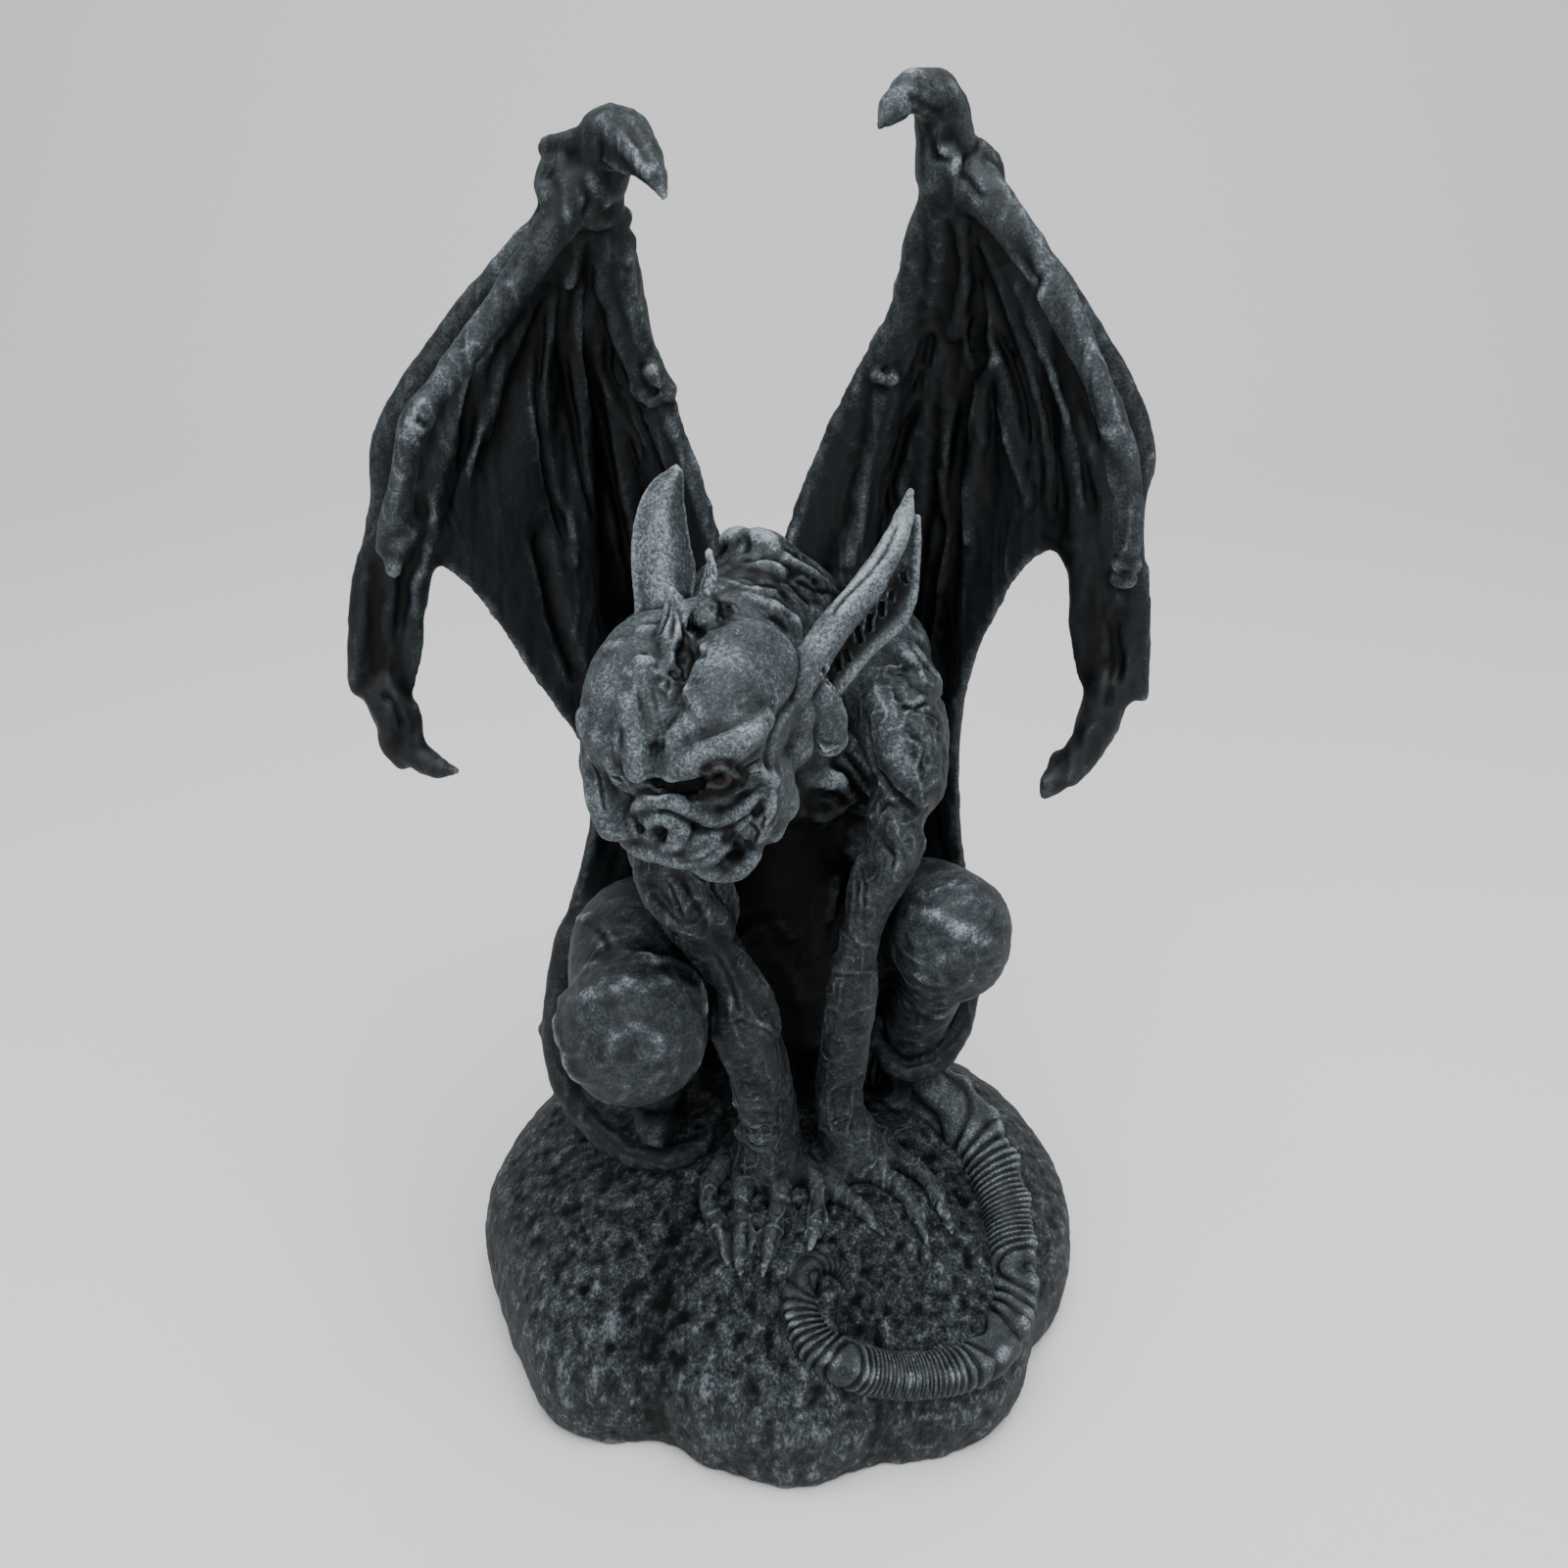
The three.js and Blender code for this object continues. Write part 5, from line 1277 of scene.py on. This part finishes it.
RIGHT_WING_ROLLS = [
    [(1007, 178, 2.02, 0.52), (1039, 225, 2.02, 0.68), (1071, 276, 2, 0.9), (1101, 335, 2, 0.9),
     (1125, 399, 2, 0.9), (1135, 426, 2.02, 0.9)],
    [(1135, 438, 2.39, 1.35), (1145, 453, 2.39, 1.35), (1153, 492, 2.21, 0.98), (1156, 532, 2.02, 0.83),
     (1154, 556, 2.02, 0.9)],
    [(1143, 574, 2, 1.4), (1155, 576, 2, 1.4)],
    [(1140, 590, 1.8, 1.2), (1151, 592, 1.8, 1.2)],
    [(1141, 605, 1.8, 1.1), (1144, 613, 1.5, 0.8)],
    [(971, 195, 1.8, 0.7), (958, 257, 2.02, 0.98), (941, 316, 2.12, 1.12), (921, 355, 2.21, 1.35),
     (905, 372, 2.39, 1.8)],
    [(897, 382, 2.02, 1.8), (909, 384, 2, 2)],
    [(897, 404, 2, 1.4), (886, 463, 2.02, 1.05), (876, 527, 2.21, 1.05), (866, 571, 2.39, 1.05)],
    [(961, 222, 1.5, 0.8), (956, 271, 1.5, 0.9), (948, 316, 1.3, 0.7)],
    [(980, 222, 1.2, 0.8), (986, 281, 1.5, 1.5), (974, 340, 1.6, 1.7), (957, 404, 1.5, 1.5),
     (939, 458, 1.3, 1.1), (934, 488, 1, 0.6)],
    [(1003, 247, 1.2, 0.8), (1022, 286, 1.4, 1.3), (1042, 340, 1.5, 1.5), (1064, 404, 1.4, 1.4),
     (1076, 463, 1.3, 1.1), (1086, 517, 1.1, 0.6)],
    [(1017, 365, 1.2, 0.8), (1003, 399, 1.5, 1.5), (1000, 448, 1.5, 1.5), (988, 502, 1.4, 1.3),
     (989, 551, 1.2, 0.9)],
    [(1039, 370, 1.2, 0.8), (1057, 433, 1.3, 1.2), (1059, 488, 1.1, 0.7)],
    [(1022, 419, 1.2, 0.8), (1034, 463, 1.3, 1.1), (1049, 512, 1.1, 0.7)],
    [(1032, 271, 1.2, 0.8), (1057, 335, 1.3, 1.1), (1081, 399, 1.3, 1.1), (1101, 463, 1.2, 0.8),
     (1106, 517, 1, 0.5)],
    [(961, 483, 1.2, 0.8), (966, 542, 1.3, 1.1), (958, 601, 1.2, 0.9), (951, 674, 1, 0.6)],
    [(984, 556, 1.3, 0.9), (975, 610, 1.5, 1.1), (966, 674, 1.4, 0.9)],
    [(919, 433, 1.2, 0.7), (929, 404, 1.4, 1), (946, 374, 1.2, 0.7)],
    [(966, 158, 2, 1.1), (978, 173, 2, 1.1)],
    [(1000, 153, 2.02, 0.75), (1007, 166, 2.02, 0.75)],
    [(966, 89, 1.6, 1), (975, 109, 1.8, 1), (985, 144, 1.8, 0.8)],
    [(904, 87, 1.6, 0.8), (931, 80, 1.8, 0.9), (961, 94, 1.8, 0.9)],
    [(1147, 741, 2, 1), (1133, 765, 2.21, 0.9)],
    [(1116, 746, 2.02, 0.6), (1106, 777, 2.02, 0.6), (1091, 792, 2, 0.8)],
    [(1081, 773, 1.8, 0.8), (1071, 797, 1.8, 0.8)],
    [(1166, 581, 1.4, 0.6), (1167, 650, 1.4, 0.7), (1164, 709, 1.4, 0.6)],
]
RIGHT_WING_DENTS = [
    (2.2, -2.2, [(993, 247), (1000, 316), (990, 374), (979, 453), (971, 512)]),
    (1.6, -1.4, [(1008, 325), (1030, 365), (1044, 414), (1049, 463)]),
    (2.2, -1.8, [(966, 517), (953, 581), (945, 664)]),
    (1.8, -1.4, [(1071, 335), (1091, 404), (1106, 478), (1116, 532)]),
    (1.8, -1.6, [(1054, 365), (1070, 433), (1076, 527)]),
    (2.2, -1.8, [(934, 414), (921, 453), (910, 492), (912, 532)]),
    (2.2, -1.5, [(1022, 227), (1057, 286), (1081, 345), (1111, 424), (1128, 483)]),
    (1.4, -1.2, [(953, 335), (946, 374), (934, 404)]),
    (2.0, -1.2, [(1135, 625), (1140, 679), (1130, 728)]),
    (1.1, -1.1, [(900, 374), (908, 382)]),
    (1.0, -0.7, [(1135, 582), (1147, 585), (1159, 583)]),
    (1.0, -0.7, [(1134, 598), (1145, 601), (1155, 599)]),
    (1.2, -0.8, [(944, 124), (953, 158), (975, 166)]),
    (1.1, -0.6, [(899, 104), (929, 99), (958, 114), (973, 148)]),
    (1.3, -0.9, [(988, 153), (983, 178), (1007, 207)]),
    (1.2, -0.9, [(1155, 718), (1138, 748), (1120, 768)]),
    (1.2, -0.8, [(1081, 797), (1061, 787)]),
]
# Painted light on the wings' upper knobs and leading bones, above 0, and painted shade in their inner
# folds and lower webs, below 0, over the dry brush and black wash.
LEFT_WING_TONES = [
    (9, 0.3, [(628, 120), (660, 170), (680, 205)]),
    (8, 0.3, [(560, 180), (520, 260), (470, 350), (425, 430)]),
    (6, 0.3, [(423, 432), (405, 500), (398, 570)]),
    (6, 0.25, [(620, 200), (620, 290), (640, 350), (665, 400), (690, 480)]),
    (9, -0.5, [(560, 330), (600, 430), (620, 560), (630, 640)]),
    (14, -0.5, [(380, 610), (375, 700), (410, 760)]),
]
# The same painted light and shade on the right wing.
RIGHT_WING_TONES = [
    (9, 0.3, [(895, 110), (925, 80), (960, 110), (975, 150)]),
    (7, 0.25, [(1000, 170), (1060, 260), (1110, 360), (1135, 430)]),
    (6, 0.2, [(1140, 440), (1155, 530), (1145, 610)]),
    (6, 0.25, [(960, 190), (940, 310), (905, 375), (880, 480), (865, 580)]),
    (9, -0.5, [(990, 250), (990, 380), (975, 500), (950, 640)]),
    (9, -0.4, [(1080, 420), (1085, 560), (1110, 680)]),
    (12, -0.4, [(1150, 640), (1130, 740), (1070, 800)]),
]


def wing_grid(rays, along, across):
    """The middle of the wing's skin: a row for each share along its rays, a point for each across."""
    lift = np.array([0, 0, SEAT])
    lengthwise = [Rail(np.array(ray) + lift).at(along) for ray in rays]
    return np.array([Rail([ray[j] for ray in lengthwise]).at(across) for j in range(len(along))])


def add_wing(bm, wing):
    along, across = np.linspace(0, 1, 71), np.linspace(0, 1, 127)
    grid = wing_grid(wing["rays"], along, across)
    normal = unit_rows(np.cross(np.gradient(grid, axis=0), np.gradient(grid, axis=1))) * wing["facing"]
    normal[0] = normal[1]
    grown = np.sin(math.pi * np.minimum(0.94, 1.1 * along))
    fold = eased(FOLD_RELIEF, across)[None, :] * grown[:, None] * FOLD_DEPTH
    half = np.where(along > 0.95, 0.6, 1.0)[:, None] * MEMBRANE / 2 * np.ones_like(fold)
    front = grid + normal * (fold + half)[..., None]
    back = grid + normal * (0.7 * fold - half)[..., None]
    add_wall(bm, np.swapaxes(front, 0, 1), np.swapaxes(back, 0, 1))
    for section, radii in BONES:
        line = wing_grid(wing["rays"], np.linspace(0, 1, 15), np.array([section / WING_SECTIONS]))[:, 0]
        size = np.interp(np.linspace(0, 1, 15), np.linspace(0, 1, 6), radii)
        add_limb(bm, [(*point, radius) for point, radius in zip(line, size)], lift=0)
    for part in ("leading_finger", "thumb", "lower_claw", "hook", "kink"):
        add_limb(bm, wing[part])
    add_ball(bm, *wing["wrist"])
    add_ball(bm, *wing["hook_knob"])


def make_wing(wing, name, rolls, dents, tones):
    base = Clay(remeshed(mesh_from(lambda bm: add_wing(bm, wing), name), WING_SKINS[0]))
    base.relax(2)
    base.aim()
    clay = with_more(base, lambda bm: lay_rolls(bm, base, rolls, sides=10), WING_SKINS[1], 2)
    clay.strokes(dents, taper=0.2)
    clay.strokes([(0.9, -0.5, path) for path in wing["hook_grooves"]], shape="crease")
    drawn = clay.place * np.array([1, 1, 0.3])
    clay.lift(0.3 * veins(drawn, 4.5, 81) + 0.3 * rough(drawn, 2.6, 83, 2)
              + 0.1 * rough(clay.place, 1.5, 87, 2))
    clay.relax(1)
    clay.shade(tones)
    return clay.finish(name)


# Paint.

class Paint:
    """A socket of a material's nodes, which sums and products can be written with."""

    def __init__(self, tree, socket):
        self.tree, self.socket = tree, socket

    def maths(self, operation, first, second):
        return make_node(self.tree, "ShaderNodeMath", {"operation": operation}, {0: first, 1: second})

    def __add__(self, other):
        return self.maths("ADD", self, other)

    __radd__ = __add__

    def __sub__(self, other):
        return self.maths("SUBTRACT", self, other)

    def __rsub__(self, other):
        return self.maths("SUBTRACT", other, self)

    def __mul__(self, other):
        return self.maths("MULTIPLY", self, other)

    __rmul__ = __mul__

    def least(self, other):
        return self.maths("MINIMUM", self, other)

    def ramp(self, low, high):
        """0 below low and 1 above high, easing between."""
        return make_node(self.tree, "ShaderNodeMapRange", {"interpolation_type": "SMOOTHSTEP"},
                         {"Value": self, "From Min": low, "From Max": high}, "Result")


def make_node(tree, kind, settings, sockets, out=0):
    """One of a material's outputs from a new node, its settings made before its sockets."""
    node = tree.nodes.new(kind)
    for name, value in settings.items():
        setattr(node, name, value)
    for key, value in sockets.items():
        if isinstance(value, Paint):
            tree.links.new(value.socket, node.inputs[key])
        else:
            node.inputs[key].default_value = value
    return Paint(tree, node.outputs[out])


def mixed(tree, share, first, second):
    """One colour laid over another by a share."""
    return make_node(tree, "ShaderNodeMix", {"data_type": "RGBA"}, {0: share, 6: first, 7: second}, 2)


def kept(tree, name):
    """A value that the clay keeps at each of its points."""
    return make_node(tree, "ShaderNodeAttribute", {"attribute_name": name}, {}, "Fac")


def noise(tree, place, scale, detail, fineness=0.5):
    """Random lumps about 0, so many to the metre."""
    return make_node(tree, "ShaderNodeTexNoise", {},
                     {"Vector": place, "Scale": scale, "Detail": detail, "Roughness": fineness}) - 0.5


# Near black for the black wash and the painted shade in the hollows.
WASH_AND_SHADE_BLACK = (0.0012, 0.0015, 0.0018, 1)
CHARCOAL = (0.010, 0.0122, 0.0140, 1)
# Mid and pale blue-grey for the dry brush and for the painted highlights.
SLATE = (0.052, 0.063, 0.070, 1)
PALE = (0.27, 0.31, 0.335, 1)
IRIS = (0.052, 0.048, 0.044, 1)
PUPIL_BLACK = (0.012, 0.011, 0.0105, 1)
PATCHES, STIPPLE, CRUMBS, GRIT = 170, 1150, 820, 3000  # lumps of each size to the metre
SHEEN = 0.16


def painted_resin(name, brush, rise=0.0, stipple_size=1.0, pale=0.85, drawn_out=1.0, relief_share=0.45,
                  crust=0.0, bumps=0.3, eye=False):
    """Charcoal paint with a black wash and painted shade in the hollows,
    and a pale blue-grey dry brush with painted highlights on what stands out.

    brush is how light the piece is painted overall, partly dry brush and partly painted light, and rise
    how much lighter it gets towards the statue's top, partly dry brush and partly painted light from
    above.
    """
    material = bpy.data.materials.new(name)
    material.use_nodes = True
    tree = material.node_tree
    surface = tree.nodes["Principled BSDF"]
    place = make_node(tree, "ShaderNodeTexCoord", {}, {}, "Object")
    grained = make_node(tree, "ShaderNodeMapping", {}, {"Vector": place, "Scale": (1, 1, 1 / drawn_out)})
    relief, wear, tone = (kept(tree, value) for value in ("relief", "edge_wear", "tone"))
    # Lighter towards the top of the statue: partly dry brush, partly painted light from above.
    high = make_node(tree, "ShaderNodeSeparateXYZ", {}, {"Vector": place}, "Z").ramp(0.09, 0.22)
    patch = noise(tree, place, PATCHES, 2)
    stipple = noise(tree, grained, STIPPLE / stipple_size, 5, 0.68)
    grit = noise(tree, place, GRIT / stipple_size, 2, 0.6)
    crumbs = noise(tree, grained, CRUMBS, 5, 0.72)
    # How light each point is painted: dry brush, with painted highlights from the tones and from the top.
    height = crumbs * (2.2 * crust) + relief * relief_share + wear * 0.45 + patch * 0.7 + stipple * 2.3
    height = height + grit * 0.9 + high * rise + tone + brush
    film = height.ramp(-0.45, 0.75)
    strong = height.ramp(0.35, 1.35)
    # Black wash in the hollows, which in the deep folds and where the tones are below 0 is also painted
    # shade.
    wash_and_shade = (relief * 0.8 + wear * 0.5 + tone.least(0.0) * 1.5).ramp(-0.8, 0.1)
    colour = mixed(tree, wash_and_shade, WASH_AND_SHADE_BLACK, CHARCOAL)
    colour = mixed(tree, film * wash_and_shade, colour, SLATE)
    colour = mixed(tree, strong * wash_and_shade * pale, colour, PALE)
    if eye:
        ball = mixed(tree, (kept(tree, "pupil") - 0.62).ramp(-0.06, 0.06) * 0.8, IRIS, PUPIL_BLACK)
        colour = mixed(tree, kept(tree, "eye").ramp(0.15, 0.4), colour, ball)
    tree.links.new(colour.socket, surface.inputs["Base Color"])
    tree.links.new((0.52 + 0.2 * film + 0.12 * stipple).socket, surface.inputs["Roughness"])
    bump = make_node(tree, "ShaderNodeBump", {}, {
        "Strength": bumps, "Distance": 0.0003 + 0.0009 * crust,
        "Height": stipple * 0.6 + grit * 0.4 + crumbs * (1.6 * crust)})
    tree.links.new(bump.socket, surface.inputs["Normal"])
    surface.inputs["Specular IOR Level"].default_value = SHEEN
    return material


# The studio.

def make_studio():
    """A pale sweep, soft light from above and the camera."""
    walk_length, flat, bend = 3.2, 1.5, 0.35  # the sweep's length, its floor and the radius of its bend
    near_edge, half_width = -0.9, 2.4
    bm = bmesh.new()
    made = bmesh.ops.create_grid(bm, x_segments=2, y_segments=60, size=1)["verts"]
    for vert in made:
        walk = (vert.co.y + 1) / 2 * walk_length
        turn = min(max((walk - flat) / bend, 0), math.pi / 2)
        rise = max(walk - flat - bend * math.pi / 2, 0)
        y = near_edge + min(walk, flat) + bend * math.sin(turn)
        vert.co = Vector((vert.co.x * half_width, y, bend * (1 - math.cos(turn)) + rise))
    mesh = bpy.data.meshes.new("sweep")
    bm.to_mesh(mesh)
    bm.free()
    mesh.shade_smooth()
    sweep = bpy.data.objects.new("sweep", mesh)
    bpy.context.scene.collection.objects.link(sweep)
    paper = bpy.data.materials.new("sweep_paper")
    paper.use_nodes = True
    paper_surface = paper.node_tree.nodes["Principled BSDF"]
    paper_surface.inputs["Base Color"].default_value = (0.72, 0.72, 0.71, 1)
    paper_surface.inputs["Roughness"].default_value = 0.85
    mesh.materials.append(paper)

    world = bpy.data.worlds.new("room")
    bpy.context.scene.world = world
    world.use_nodes = True
    sky = world.node_tree.nodes["Background"]
    sky.inputs["Color"].default_value = (0.92, 0.95, 1.0, 1)
    sky.inputs["Strength"].default_value = 0.4

    for name, place, target, size, power in (
        ("ceiling_light", (0.1, -0.25, 1.1), (0, 0, 0.15), 0.9, 21),
        ("front_light", (-0.5, -0.9, 0.8), (0, 0, 0.15), 0.7, 4),
    ):
        data = bpy.data.lights.new(name, "AREA")
        data.size = size
        data.energy = power
        light = bpy.data.objects.new(name, data)
        light.location = place
        light.rotation_euler = (Vector(target) - Vector(place)).to_track_quat("-Z", "Y").to_euler()
        bpy.context.scene.collection.objects.link(light)

    data = bpy.data.cameras.new("camera")
    data.sensor_width = 36
    data.lens = 36 * FOCAL / PICTURE
    camera = bpy.data.objects.new("camera", data)
    camera.location = Vector(CAMERA_PLACE) * MM
    camera.rotation_euler = (math.radians(90 - CAMERA_PITCH), 0, 0)
    bpy.context.scene.collection.objects.link(camera)
    bpy.context.scene.camera = camera


make_studio()
rock = model_boulder()
# The brush and rise levels make the head and upper parts lighter and the wings, tail and lower parts
# darker: partly dry brush and wash, partly painted light from above and painted shade.
torso_paint = painted_resin("torso_paint", brush=-0.28, rise=0.3, stipple_size=0.75, relief_share=0.35)
arm_paint = painted_resin("arm_paint", brush=-0.25, rise=0.35, stipple_size=0.75, relief_share=0.3)
head_paint = painted_resin("head_paint", brush=0.3, stipple_size=0.68, relief_share=0.6, eye=True)
wing_paint = painted_resin("wing_paint", brush=-0.72, rise=0.1, stipple_size=0.65)
tail_paint = painted_resin("tail_paint", brush=-0.6, stipple_size=0.7, relief_share=0.42)
rock_paint = painted_resin("rock_paint", brush=0.02, stipple_size=0.7, drawn_out=2.2, pale=0.6, crust=1.0,
                           bumps=0.9)
pieces = [
    (make_tail(), tail_paint),
    (make_torso(), torso_paint),
    (make_arms(rock), arm_paint),
    (make_head(), head_paint),
    (make_wing(LEFT_WING, "left_wing", LEFT_WING_ROLLS, LEFT_WING_DENTS, LEFT_WING_TONES), wing_paint),
    (make_wing(RIGHT_WING, "right_wing", RIGHT_WING_ROLLS, RIGHT_WING_DENTS, RIGHT_WING_TONES),
     wing_paint),
    (rock.finish("boulder"), rock_paint),
]
for piece, paint in pieces:
    piece.data.materials.append(paint)
    print(piece.name, len(piece.data.polygons) * 2, "triangles")
